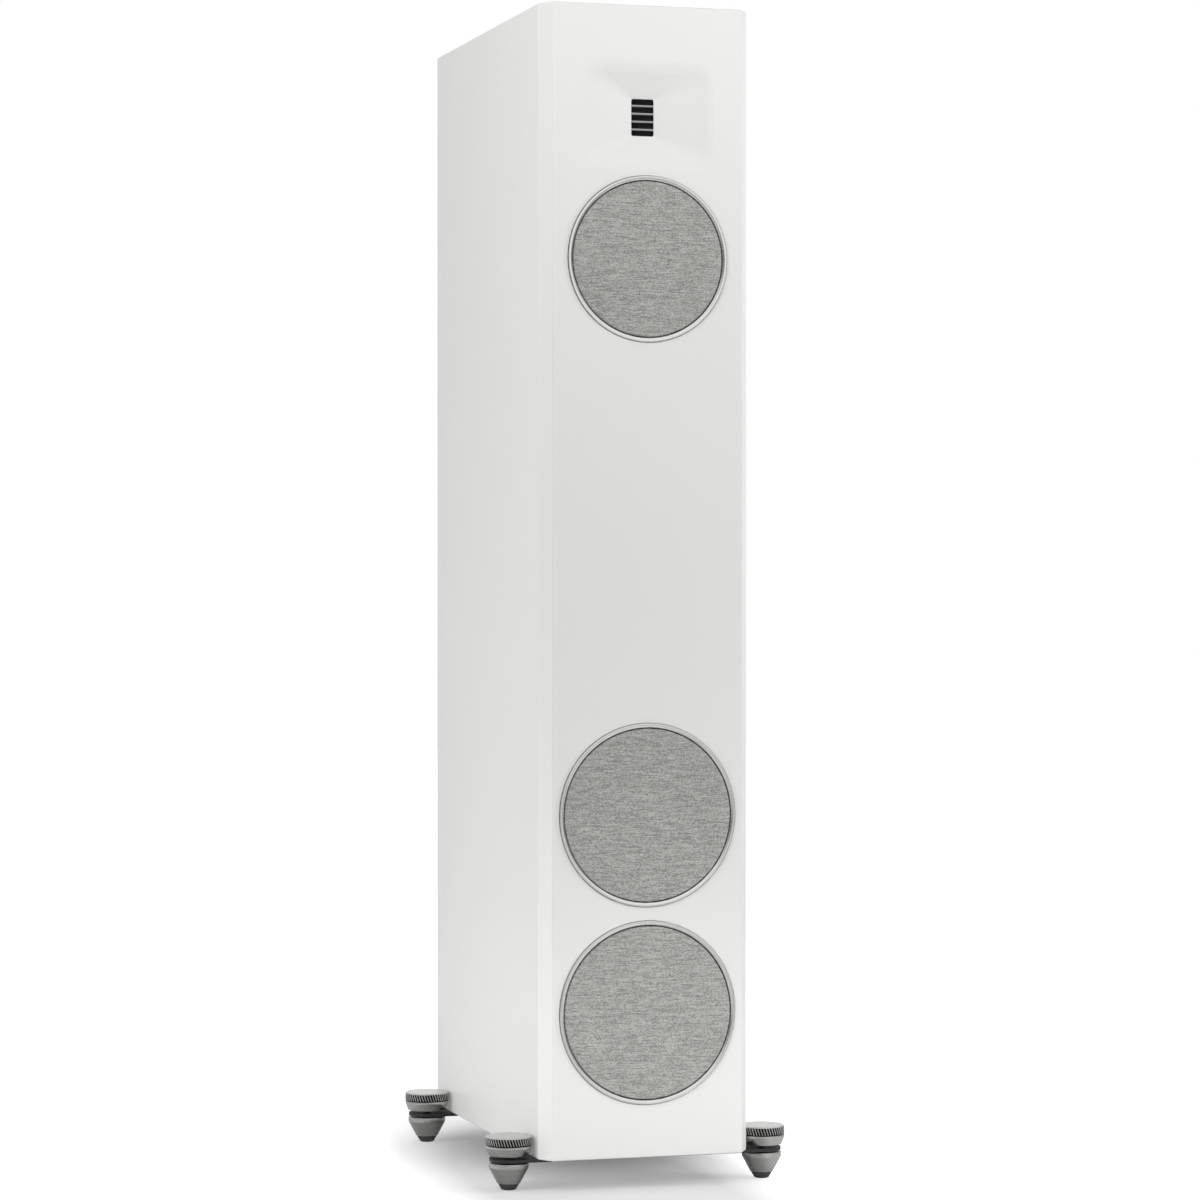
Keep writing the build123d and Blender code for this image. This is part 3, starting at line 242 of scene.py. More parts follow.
def grid_mesh(name, points, closed=False, sharp=35):
    """A mesh of quads over a grid of points. Rows run along a profile and columns round it;
    closed joins the last column to the first. The UV map holds the share of the way round
    and the distance along the profile in metres. Edges over sharp degrees stay crisp."""
    rows, columns = points.shape[:2]
    row = np.arange(rows - 1)[:, None]
    column = np.arange(columns if closed else columns - 1)[None, :]
    corner_rows = np.stack([row + 0 * column, row + 1 + 0 * column,
                            row + 1 + 0 * column, row + 0 * column], -1).reshape(-1, 4)
    corner_columns = np.stack([column + 0 * row, column + 0 * row,
                               column + 1 + 0 * row, column + 1 + 0 * row], -1).reshape(-1, 4)
    quads = corner_rows * columns + corner_columns % columns
    mesh = bpy.data.meshes.new(name)
    mesh.vertices.add(rows * columns)
    mesh.vertices.foreach_set("co", points.reshape(-1).astype(np.float32))
    mesh.loops.add(quads.size)
    mesh.loops.foreach_set("vertex_index", quads.reshape(-1).astype(np.int32))
    mesh.polygons.add(len(quads))
    mesh.polygons.foreach_set("loop_start", np.arange(0, quads.size, 4, dtype=np.int32))
    steps = np.linalg.norm(np.diff(points, axis=0), axis=2).max(axis=1)
    distance = np.concatenate([[0.0], np.cumsum(steps)])
    uv = np.stack([corner_columns / columns, distance[corner_rows]], -1)
    mesh.uv_layers.new(name="UVMap").uv.foreach_set("vector", uv.reshape(-1).astype(np.float32))
    mesh.update(calc_edges=True)
    mesh.validate()
    shell = bmesh.new()
    shell.from_mesh(mesh)
    bmesh.ops.remove_doubles(shell, verts=shell.verts, dist=WELD)
    bmesh.ops.recalc_face_normals(shell, faces=shell.faces)
    shell.to_mesh(mesh)
    shell.free()
    mesh.polygons.foreach_set("use_smooth", np.ones(len(mesh.polygons), bool))
    mesh.set_sharp_from_angle(angle=math.radians(sharp))
    return mesh


def turned(name, outline, centre, segments, axis=DEPTH, shape=None):
    """A surface of revolution: each outline point, a radius and a distance along the axis,
    is carried round a circle in so many segments. shape may change the radius with the
    distance and the angle."""
    across, up = (RIGHT, UP) if axis is DEPTH else (RIGHT, DEPTH)
    angle = np.linspace(0, TURN, segments, endpoint=False)[None, :]
    radius, distance = outline[:, :1] + 0 * angle, outline[:, 1:] + 0 * angle
    if shape is not None:
        radius = shape(radius, distance, angle)
    ring = np.cos(angle)[..., None] * across + np.sin(angle)[..., None] * up
    points = centre + radius[..., None] * ring + distance[..., None] * axis
    return grid_mesh(name, points, closed=True)


def points_of(mesh):
    """The x, y and z of every point of a mesh, as three arrays."""
    places = np.empty(len(mesh.vertices) * 3, np.float32)
    mesh.vertices.foreach_get("co", places)
    return places.reshape(-1, 3).T


def mark_painted_shade(mesh, depth):
    """Keeps a value from 0 to 1 on each point, for finishes that paint shade down in a cut."""
    # painted shade: the finishes darken their colour by this value
    value = np.clip(depth(*points_of(mesh)), 0, 1).astype(np.float32)
    mesh.attributes.new("recess", "FLOAT", "POINT").data.foreach_set("value", value)


def material_of(name):
    return bpy.data.materials[name]


def add_piece(mesh, finish, body, replaced):
    """Links a finished mesh as a piece that rides on a body and stands for a CAD node. A
    piece with no body is blended between two bodies by the caller."""
    piece = bpy.data.objects.new(mesh.name, mesh)
    bpy.context.scene.collection.objects.link(piece)
    mesh.materials.append(material_of(finish))
    if body:
        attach(piece, body)
    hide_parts(replaced)
    return piece


def finish_nodes(finish, *names):
    """Gives the CAD's own pieces a finish."""
    for name in names:
        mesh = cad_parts[name].data
        mesh.materials.clear()
        mesh.materials.append(material_of(finish))


def middle_of(name):
    low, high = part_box(name)
    return (np.array(low) + np.array(high)) / 2


def axis_of(name):
    """Where the axis of a round piece on the front crosses zero depth."""
    return middle_of(name) * (1, 0, 1)


# ---- Shader groups shared by the finishes -----------------------------------------------

def new_group(name, inputs, outputs):
    """A shader group with its sockets; returns it with its inner input and output nodes."""
    group = bpy.data.node_groups.new(name, "ShaderNodeTree")
    for label, kind, default in inputs:
        socket = group.interface.new_socket(label, in_out="INPUT", socket_type=kind)
        if default is not None:
            socket.default_value = default
    for label, kind in outputs:
        group.interface.new_socket(label, in_out="OUTPUT", socket_type=kind)
    return group, group.nodes.new("NodeGroupInput"), group.nodes.new("NodeGroupOutput")


def node(tree, kind, values=(), **settings):
    """Adds a node. Values are pairs of an input and a number or the socket that feeds it, and
    settings are the node's own properties."""
    made = tree.nodes.new(kind)
    for label, value in settings.items():
        setattr(made, label, value)
    for label, value in values:
        if isinstance(value, bpy.types.NodeSocket):
            tree.links.new(value, made.inputs[label])
        else:
            made.inputs[label].default_value = value
    return made


def maths(tree, operation, *values):
    """The result of one sum on numbers or sockets."""
    return node(tree, "ShaderNodeMath", enumerate(values), operation=operation).outputs[0]


def ranged(tree, value, low, high, first=0.0, last=1.0, **settings):
    """Stretches the range from low to high onto the range from first to last, and clamps."""
    return node(tree, "ShaderNodeMapRange", [("Value", value), ("From Min", low),
                ("From Max", high), ("To Min", first), ("To Max", last)],
                **settings).outputs["Result"]


def noise(tree, place, scale, detail, roughness=0.5):
    return node(tree, "ShaderNodeTexNoise", [("Vector", place), ("Scale", scale),
                ("Detail", detail), ("Roughness", roughness)]).outputs["Fac"]


def grain_group():
    """Fine even texture: two noises, one at the grain's size and one fifty times coarser."""
    group, entry, exit_ = new_group(
        "Fine grain",
        [("Vector", "NodeSocketVector", None), ("Grains per metre", "NodeSocketFloat", 800.0)],
        [("Height", "NodeSocketFloat"), ("Drift", "NodeSocketFloat")],
    )
    place, grains = entry.outputs[0], entry.outputs[1]
    coarser = maths(group, "MULTIPLY", grains, 1 / 50)
    group.links.new(noise(group, place, grains, 2.0), exit_.inputs["Height"])
    group.links.new(noise(group, place, coarser, 3.0), exit_.inputs["Drift"])


def turning_group():
    """Lathe lines: a noise stretched right round the piece, read from its own UV map."""
    group, entry, exit_ = new_group(
        "Turned lines",
        [("Lines per metre", "NodeSocketFloat", 4000.0)],
        [("Height", "NodeSocketFloat"), ("Tone", "NodeSocketFloat")],
    )
    uv = node(group, "ShaderNodeTexCoord").outputs["UV"]
    parts = node(group, "ShaderNodeSeparateXYZ", [(0, uv)])
    along = maths(group, "MULTIPLY", parts.outputs["Y"], entry.outputs[0])
    around = maths(group, "MULTIPLY", parts.outputs["X"], TURN)
    place = node(group, "ShaderNodeCombineXYZ", [("X", maths(group, "COSINE", around)),
                 ("Y", maths(group, "SINE", around)), ("Z", along)])
    lines = noise(group, place.outputs[0], 1.0, 2.0)
    for label in ("Height", "Tone"):
        group.links.new(lines, exit_.inputs[label])


def weave_group():
    """Plain weave with slubs. Weft and warp are waves one thread apart. Slubs and flecks are
    noises stretched along the weft, on a height that a broad noise makes wander. The slubs
    also turn a little lighter and darker with the broad noise."""
    group, entry, exit_ = new_group(
        "Slub weave",
        [("Vector", "NodeSocketVector", None), ("Threads per metre", "NodeSocketFloat", 700.0)],
        [("Weave", "NodeSocketFloat"), ("Slub", "NodeSocketFloat"), ("Fleck", "NodeSocketFloat")],
    )
    patches, wander, uneven = 110.0, 0.002, 0.12     # per metre, metres, share of brightness
    slubs, flecks = (75.0, 200.0, 1150.0), (760.0, 200.0, 1000.0)             # per metre
    parts = node(group, "ShaderNodeSeparateXYZ", [(0, entry.outputs[0])])
    waves = []
    for label in ("X", "Z"):
        threads = maths(group, "MULTIPLY", parts.outputs[label], entry.outputs[1])
        waves.append(maths(group, "SINE", maths(group, "MULTIPLY", threads, TURN)))
    broad = noise(group, entry.outputs[0], patches, 2.0)
    height = maths(group, "ADD", parts.outputs["Z"], maths(group, "MULTIPLY", broad, wander))
    place = node(group, "ShaderNodeCombineXYZ", [("X", parts.outputs["X"]),
                 ("Y", parts.outputs["Y"]), ("Z", height)])
    slub, fleck = [
        noise(group, node(group, "ShaderNodeMapping", [("Vector", place.outputs[0]),
              ("Scale", scale)]).outputs[0], 1.0, detail, 0.65)
        for scale, detail in ((slubs, 3.0), (flecks, 1.0))]
    drift = maths(group, "MULTIPLY_ADD", broad, uneven, -uneven / 2)
    for label, value in (("Weave", maths(group, "MULTIPLY", *waves)),
                         ("Slub", maths(group, "ADD", slub, drift)), ("Fleck", fleck)):
        group.links.new(value, exit_.inputs[label])


# ---- Materials --------------------------------------------------------------------------

def start_material(name, **sockets):
    """A new material's node tree and its Principled shader, with its sockets' numbers."""
    material = bpy.data.materials.new(name)
    material.use_nodes = True
    tree = material.node_tree
    shader = tree.nodes["Principled BSDF"]
    for label, value in sockets.items():
        shader.inputs[label.replace("_", " ")].default_value = value
    return tree, shader


def shared_effect(tree, group):
    return node(tree, "ShaderNodeGroup", node_tree=bpy.data.node_groups[group])


def object_place(tree):
    return node(tree, "ShaderNodeTexCoord").outputs["Object"]


def bump(tree, shader, height, distance, strength=1.0):
    made = node(tree, "ShaderNodeBump", [("Height", height), ("Distance", distance),
                ("Strength", strength)])
    tree.links.new(made.outputs["Normal"], shader.inputs["Normal"])


def blended(tree, factor, first, second):
    """A mix of two colours; each is a socket, or red, green and blue."""
    colours = [value if isinstance(value, bpy.types.NodeSocket) else (*value, 1)
               for value in (first, second)]
    return node(tree, "ShaderNodeMix", [("Factor", factor), ("A", colours[0]),
                ("B", colours[1])], data_type="RGBA").outputs["Result"]


def colour_and_gloss(tree, shader, colours, drift, roughness, spread):
    """Sets the colour, and lets a noise change the roughness by spread. The noise stays
    mostly between 0.3 and 0.7."""
    tree.links.new(ranged(tree, drift, 0.3, 0.7, roughness - spread, roughness + spread),
                   shader.inputs["Roughness"])
    tree.links.new(colours, shader.inputs["Base Color"])


def toned(tree, drift, tint, tone):
    """The tint, made darker and lighter by the share tone as a noise goes from 0 to 1."""
    return blended(tree, drift, [c * (1 - tone) for c in tint],
                   [min(1.0, c * (1 + tone)) for c in tint])


def grained(name, tint, roughness, grain, relief, tone=0.04, spread=0.06, **sockets):
    """A moulded, sprayed or sintered surface: fine bump, and slow drift in gloss and tone."""
    tree, shader = start_material(name, **sockets)
    effect = shared_effect(tree, "Fine grain")
    tree.links.new(object_place(tree), effect.inputs["Vector"])
    effect.inputs["Grains per metre"].default_value = 1.0 / grain
    drift = effect.outputs["Drift"]
    colour_and_gloss(tree, shader, toned(tree, drift, tint, tone), drift, roughness, spread)
    bump(tree, shader, effect.outputs["Height"], relief)


def lathed(name, tint, roughness, lines, relief, tone, recess=False, **sockets):
    """A turned metal or spun surface with fine lines round its axis. With recess, it takes
    painted shade where the mesh says that it lies down in a cut."""
    tree, shader = start_material(name, **sockets)
    effect = shared_effect(tree, "Turned lines")
    effect.inputs["Lines per metre"].default_value = lines
    colours = toned(tree, effect.outputs["Tone"], tint, tone)
    if recess:
        # painted shade: the metal fades to near black where the mesh marks it as down in a cut
        down = node(tree, "ShaderNodeAttribute", attribute_name="recess").outputs["Fac"]
        colours = blended(tree, ranged(tree, down, 0.02, 0.4), colours, PAINTED_SHADE_METAL)
    colour_and_gloss(tree, shader, colours, effect.outputs["Tone"], roughness, 0.05)
    bump(tree, shader, effect.outputs["Height"], relief)


def woven(name, settings):
    """Melange cloth: slubs and flecks mix a dark and a light yarn, and the weave shades both.
    Painted shade makes it dark where the mesh says that it turns down behind the rim."""
    tree, shader = start_material(name, Roughness=0.9, Sheen_Weight=0.1,
                                  Sheen_Roughness=0.5)
    effect = shared_effect(tree, "Slub weave")
    tree.links.new(object_place(tree), effect.inputs["Vector"])
    effect.inputs["Threads per metre"].default_value = 1.0 / settings.thread
    shading, relief, strength = 0.05, 0.0006, 0.8
    slub = ranged(tree, effect.outputs["Slub"], 0.32, 0.72, 0.36, 0.78)
    yarns = node(tree, "ShaderNodeMix", [("Factor", 0.5), ("A", slub),
                 ("B", effect.outputs["Fleck"])], data_type="FLOAT").outputs[0]
    weave = maths(tree, "MULTIPLY", effect.outputs["Weave"], shading)
    total = maths(tree, "ADD", yarns, weave)
    colours = blended(tree, ranged(tree, total, 0.425, 0.635), settings.dark, settings.light)
    # painted shade: the cloth fades to near black where its edge turns down behind the rim
    down = node(tree, "ShaderNodeAttribute", attribute_name="recess").outputs["Fac"]
    tree.links.new(blended(tree, down, colours, PAINTED_SHADE_CLOTH), shader.inputs["Base Color"])
    bump(tree, shader, total, relief, strength)


# painted shade: the colours that metal and cloth fade to down in a cut
PAINTED_SHADE_METAL, PAINTED_SHADE_CLOTH = (0.01, 0.01, 0.01), (0.02, 0.02, 0.02)

# colour, roughness, size of the grain and its relief in metres, and change of tone
GRAINED = {
    "Bare board": ((0.36, 0.23, 0.13), 0.85, 0.0009, 0.00008, 0.25),
    "Moulded black": ((0.022, 0.022, 0.023), 0.48, 0.0006, 0.00004, 0.1),
    "Black nylon": ((0.03, 0.03, 0.03), 0.6, 0.0008, 0.00004, 0.1),
    "Powder coat": ((0.018, 0.018, 0.019), 0.5, 0.0007, 0.00006, 0.1),
    "Rubber": ((0.018, 0.018, 0.018), 0.62, 0.0007, 0.00003, 0.1),
    "Tip rubber": ((0.055, 0.055, 0.054), 0.7, 0.0008, 0.00004, 0.12),
    "Ferrite": ((0.05, 0.05, 0.052), 0.55, 0.0008, 0.00004, 0.15),
    "Cast frame": ((0.03, 0.03, 0.032), 0.5, 0.0010, 0.00010, 0.1),
    "Spider cloth": ((0.42, 0.27, 0.10), 0.85, 0.0006, 0.00008, 0.2),
    "Board green": ((0.02, 0.10, 0.04), 0.4, 0.0020, 0.00002, 0.15),
    "Components": ((0.32, 0.15, 0.05), 0.4, 0.0010, 0.00003, 0.3),
    "Film black": ((0.06, 0.06, 0.06), 0.35, 0.0006, 0.00001, 0.1),
}
GLOSSY_PLASTICS = {
    "Red plastic": ((0.30, 0.008, 0.008), 0.22, 0.0020, 0.000008, 0.1),
    "Black plastic": ((0.012, 0.012, 0.012), 0.22, 0.0020, 0.000008, 0.1),
}
METALS = {
    "Pole plate": ((0.42, 0.42, 0.42), 0.32, 0.0008, 0.00001, 0.05),
    "Zinc": ((0.55, 0.55, 0.56), 0.35, 0.0020, 0.00002, 0.1),
    "Black oxide": ((0.05, 0.05, 0.052), 0.42, 0.0010, 0.00001, 0.1),
    "Gold plate": ((0.83, 0.60, 0.25), 0.2, 0.0020, 0.00001, 0.05),
}


# ---- Operators --------------------------------------------------------------------------

class SPEAKER_OT_finishes(bpy.types.Operator):
    """Makes the shader groups and every finish that the pieces share"""
    bl_idname = "speaker.finishes"
    bl_label = "Finishes"

    def execute(self, context):
        scene = context.scene
        grain_group()
        turning_group()
        weave_group()
        cabinet, trim, foot = scene.speaker_cabinet, scene.speaker_trim, scene.speaker_foot
        grained("Lacquer", cabinet.lacquer, cabinet.gloss, cabinet.grain, 0.00002, 0.006,
                0.03, Coat_Weight=0.12, Coat_Roughness=0.3)
        for finishes, sockets in ((GRAINED, {}), (GLOSSY_PLASTICS, {"Coat_Weight": 0.5}),
                                  (METALS, {"Metallic": 1.0})):
            for name, values in finishes.items():
                grained(name, *values, **sockets)
        # painted shade in the rings' seats and down in the feet's flutes and groove
        lathed("Silver trim", trim.metal, 0.24, 5200.0, 0.000012, 0.03, True, Metallic=1.0)
        lathed("Gunmetal", foot.metal, 0.27, 4200.0, 0.000016, 0.10, True, Metallic=1.0)
        lathed("Anodised cone", scene.speaker_driver.anodised, 0.36, 2600.0, 0.00002, 0.25,
               Metallic=1.0)
        woven("Melange cloth", scene.speaker_grille)
        return {"FINISHED"}


class SPEAKER_OT_cabinet(bpy.types.Operator):
    """Lacquers the cabinet's boards and finishes what is inside and under it"""
    bl_idname = "speaker.cabinet"
    bl_label = "Cabinet"

    def execute(self, context):
        finish_nodes("Lacquer", "front_baffle", "left_side_panel",
                     "right_side_panel", "top_panel", "bottom_panel", "rear_panel")
        finish_nodes("Bare board", "window_braces", "midrange_chamber")
        finish_nodes("Powder coat", "front_outrigger", "rear_outrigger")
        finish_nodes("Board green", "crossover_board")
        finish_nodes("Components", "crossover_parts")
        finish_nodes("Black oxide", "fixing_screws")
        return {"FINISHED"}


class SPEAKER_OT_trim_rings(bpy.types.Operator):
    """Turns the silver rings: a quarter of an ellipse rises to the crest, and inside the crest
    a wider quarter of an ellipse falls to the grille's gap. The seat behind it is dark with painted shade"""
    bl_idname = "speaker.trim_rings"
    bl_label = "Trim rings"

    def execute(self, context):
        trim = context.scene.speaker_trim
        for driver in DRIVERS:
            low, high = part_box(f"{driver}_trim_ring")
            ring, stand = (high.x - low.x) / 2, FRONT - low.y
            rim, mouth = ring - trim.play, ring - trim.face
            crest = rim - trim.shoulder
            inner = crest - trim.crest
            ledge = mouth - trim.ledge_width
            seat, back = FRONT + trim.ledge, high.y
            t = np.linspace(0, math.pi / 2, 10)
            crown = np.stack([crest + trim.shoulder * np.cos(t), FRONT - stand * np.sin(t)], -1)
            bead = np.stack([inner - (inner - mouth) * np.sin(t),
                             FRONT + trim.fall - (stand + trim.fall) * np.cos(t)], -1)
            outline = np.concatenate([[(rim, back)], crown, bead, [
                (mouth, seat - trim.painted_shade_edge), (mouth, seat), (ledge, seat), (ledge, back),
                (rim, back)]])
            mesh = turned(f"{driver}_silver_ring", outline, axis_of(f"{driver}_trim_ring"), 256)
            # painted shade: the inner wall darkens down to the seat, and the seat and all behind it are dark
            mark_painted_shade(mesh, lambda x, y, z: (y - seat + trim.painted_shade_edge) / trim.painted_shade_edge)
            add_piece(mesh, "Silver trim", "cabinet", f"{driver}_trim_ring")
        return {"FINISHED"}


class SPEAKER_OT_grilles(bpy.types.Operator):
    """Stretches the melange cloth over the grille frames"""
    bl_idname = "speaker.grilles"
    bl_label = "Grilles"

    def execute(self, context):
        grille = context.scene.speaker_grille
        for driver in DRIVERS:
            low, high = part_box(f"{driver}_grille_cloth")
            radius = (high.x - low.x) / 2
            face, end = low.y, high.y
            inner, behind = radius - grille.skirt, face + grille.cloth
            fold, corner = 0.0002, 0.0004
            outline = rounded(
                [(0, face), (radius * 0.5, face), (radius, face), (radius, end),
                 (inner, end), (inner, behind), (radius * 0.5, behind), (0, behind)],
                [0, 0, grille.rim_round, fold, fold, corner, 0, 0], steps=7,
            )
            mesh = turned(f"{driver}_cloth", outline, axis_of(f"{driver}_grille_cloth"), 192)
            # painted shade: the cloth darkens where it turns down behind the rim
            mark_painted_shade(mesh, lambda x, y, z: (y - face - grille.painted_shade_start) / grille.painted_shade_fade)
            add_piece(mesh, "Melange cloth", f"{driver}_grille",
                      f"{driver}_grille_cloth")
        finish_nodes("Black nylon", *[f"{d}_grille_frame" for d in DRIVERS])
        return {"FINISHED"}


class SPEAKER_OT_tweeter(bpy.types.Operator):
    """Folds the tweeter's film and finishes its steel, magnets and housing"""
    bl_idname = "speaker.tweeter"
    bl_label = "Tweeter"

    def execute(self, context):
        tweeter = context.scene.speaker_tweeter
        low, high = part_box("tweeter_diaphragm")
        # a rounded zigzag: the arcsine of a slightly flattened sine, run along the width,
        # with so many steps to a pleat and rows of points up the film
        flatness, steps, rows = 0.96, 24, 9
        t = np.linspace(0, 1, tweeter.pleats * steps + 1)
        wave = np.arcsin(flatness * np.cos(TURN * tweeter.pleats * t)) / math.asin(flatness)
        depth = (high.y - low.y) / 2 - tweeter.film
        line = np.stack([low.x + (high.x - low.x) * t,
                         (low.y + high.y) / 2 + depth * wave], -1)
        heights = np.linspace(low.z, high.z, rows)
        points = np.concatenate([np.broadcast_to(line, (rows, *line.shape)),
                                 np.broadcast_to(heights[:, None, None], (rows, len(t), 1))], -1)
        mesh = grid_mesh("tweeter_film", np.ascontiguousarray(points), sharp=60)
        film = add_piece(mesh, "Film black", "cabinet", "tweeter_diaphragm")
        wall = film.modifiers.new("Film", "SOLIDIFY")
        wall.thickness = tweeter.film
        wall.offset = 0.0
        finish_nodes("Pole plate", "tweeter_pole_plates")
        finish_nodes("Ferrite", "tweeter_magnets", "motor_magnets")
        finish_nodes("Moulded black", "tweeter_rear_cup")
        return {"FINISHED"}


class SPEAKER_OT_drivers(bpy.types.Operator):
    """Spins the cones, rolls the surrounds and finishes the frames and motors"""
    bl_idname = "speaker.drivers"
    bl_label = "Drivers"

    def execute(self, context):
        for driver in DRIVERS:
            self.add_cone(context.scene.speaker_driver, driver)
            self.add_surround(context.scene.speaker_driver, driver)
        finish_nodes("Cast frame", *[f"{d}_basket" for d in DRIVERS])
        finish_nodes("Spider cloth", *[f"{d}_spider" for d in DRIVERS])
        finish_nodes("Zinc", "motor_plates")
        return {"FINISHED"}

    def add_cone(self, settings, driver):
        """The dish is a shallow sphere's cap; its edge, lip and neck follow the CAD cone."""
        low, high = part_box(f"{driver}_cone")
        dish, coil = CONES[driver]
        skin, former = settings.skin, settings.former
        edge, start = (high.x - low.x) / 2, low.y
        lip = edge - settings.lip
        sphere = (lip ** 2 + dish ** 2) / (2 * dish)
        r = np.linspace(0, lip, 28)
        front = start + dish - sphere + np.sqrt(sphere ** 2 - r ** 2)
        behind = start + dish - sphere + np.sqrt((sphere + skin) ** 2 - r ** 2)
        root = behind[np.searchsorted(r, coil)]
        neck = [(coil + former, root), (coil + former, high.y), (coil, high.y),
                (coil, root + former)]
        room = 2 * SLIVER
        outside, inside = r > coil + former + room, r < coil - room
        outline = np.concatenate([
            np.stack([r, front], -1),
            [(edge, start), (edge, start + skin)],
            np.stack([r[outside][::-1], behind[outside][::-1]], -1),
            neck,
            np.stack([r[inside][::-1], behind[inside][::-1]], -1),
        ])
        mesh = turned(f"{driver}_dish", outline, axis_of(f"{driver}_cone"), 144)
        add_piece(mesh, "Anodised cone", f"{driver}_diaphragm", f"{driver}_cone")

    def add_surround(self, settings, driver):
        """A half roll: two slightly flattened half circles one wall apart, with flat lips. It
        follows the frame at its outer lip and the cone at its inner lip, easing between them
        along the radius."""
        low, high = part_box(f"{driver}_surround")
        cone_low, cone_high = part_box(f"{driver}_cone")
        place = axis_of(f"{driver}_surround")
        outer, cone_edge = (high.x - low.x) / 2, (cone_high.x - cone_low.x) / 2
        roll, wall = high.y - low.y, settings.roll_wall
        height = settings.flattening * roll
        crest, inner = cone_edge + roll, cone_edge - settings.lip
        reach = math.atan2(math.sqrt(roll ** 2 - wall ** 2), wall)
        a = np.linspace(reach, -reach, 25)
        b = np.linspace(-math.pi / 2, math.pi / 2, 25)
        outline = np.concatenate([
            [(outer, high.y - wall)],
            np.stack([crest + roll * np.sin(a), high.y - height * np.cos(a)], -1),
            [(inner, high.y - wall), (inner, high.y)],
            np.stack([crest + (roll - wall) * np.sin(b), high.y - (height - wall) * np.cos(b)],
                     -1),
            [(outer, high.y), (outer, high.y - wall)],
        ])
        mesh = turned(f"{driver}_roll", outline, place, 144)
        piece = add_piece(mesh, "Rubber", None, f"{driver}_surround")
        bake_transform(piece, "cabinet", f"{driver}_diaphragm",
                 start=(crest + roll, FRONT, place[2]), end=(crest - roll, FRONT, place[2]))
        x, _, z = points_of(mesh)
        radius = np.hypot(x - place[0], z - place[2])
        t = np.clip((crest + roll - radius) / (2 * roll), 0, 1)
        mesh.attributes["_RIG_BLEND"].data.foreach_set(
            "value", (t * t * (3 - 2 * t)).astype(np.float32))


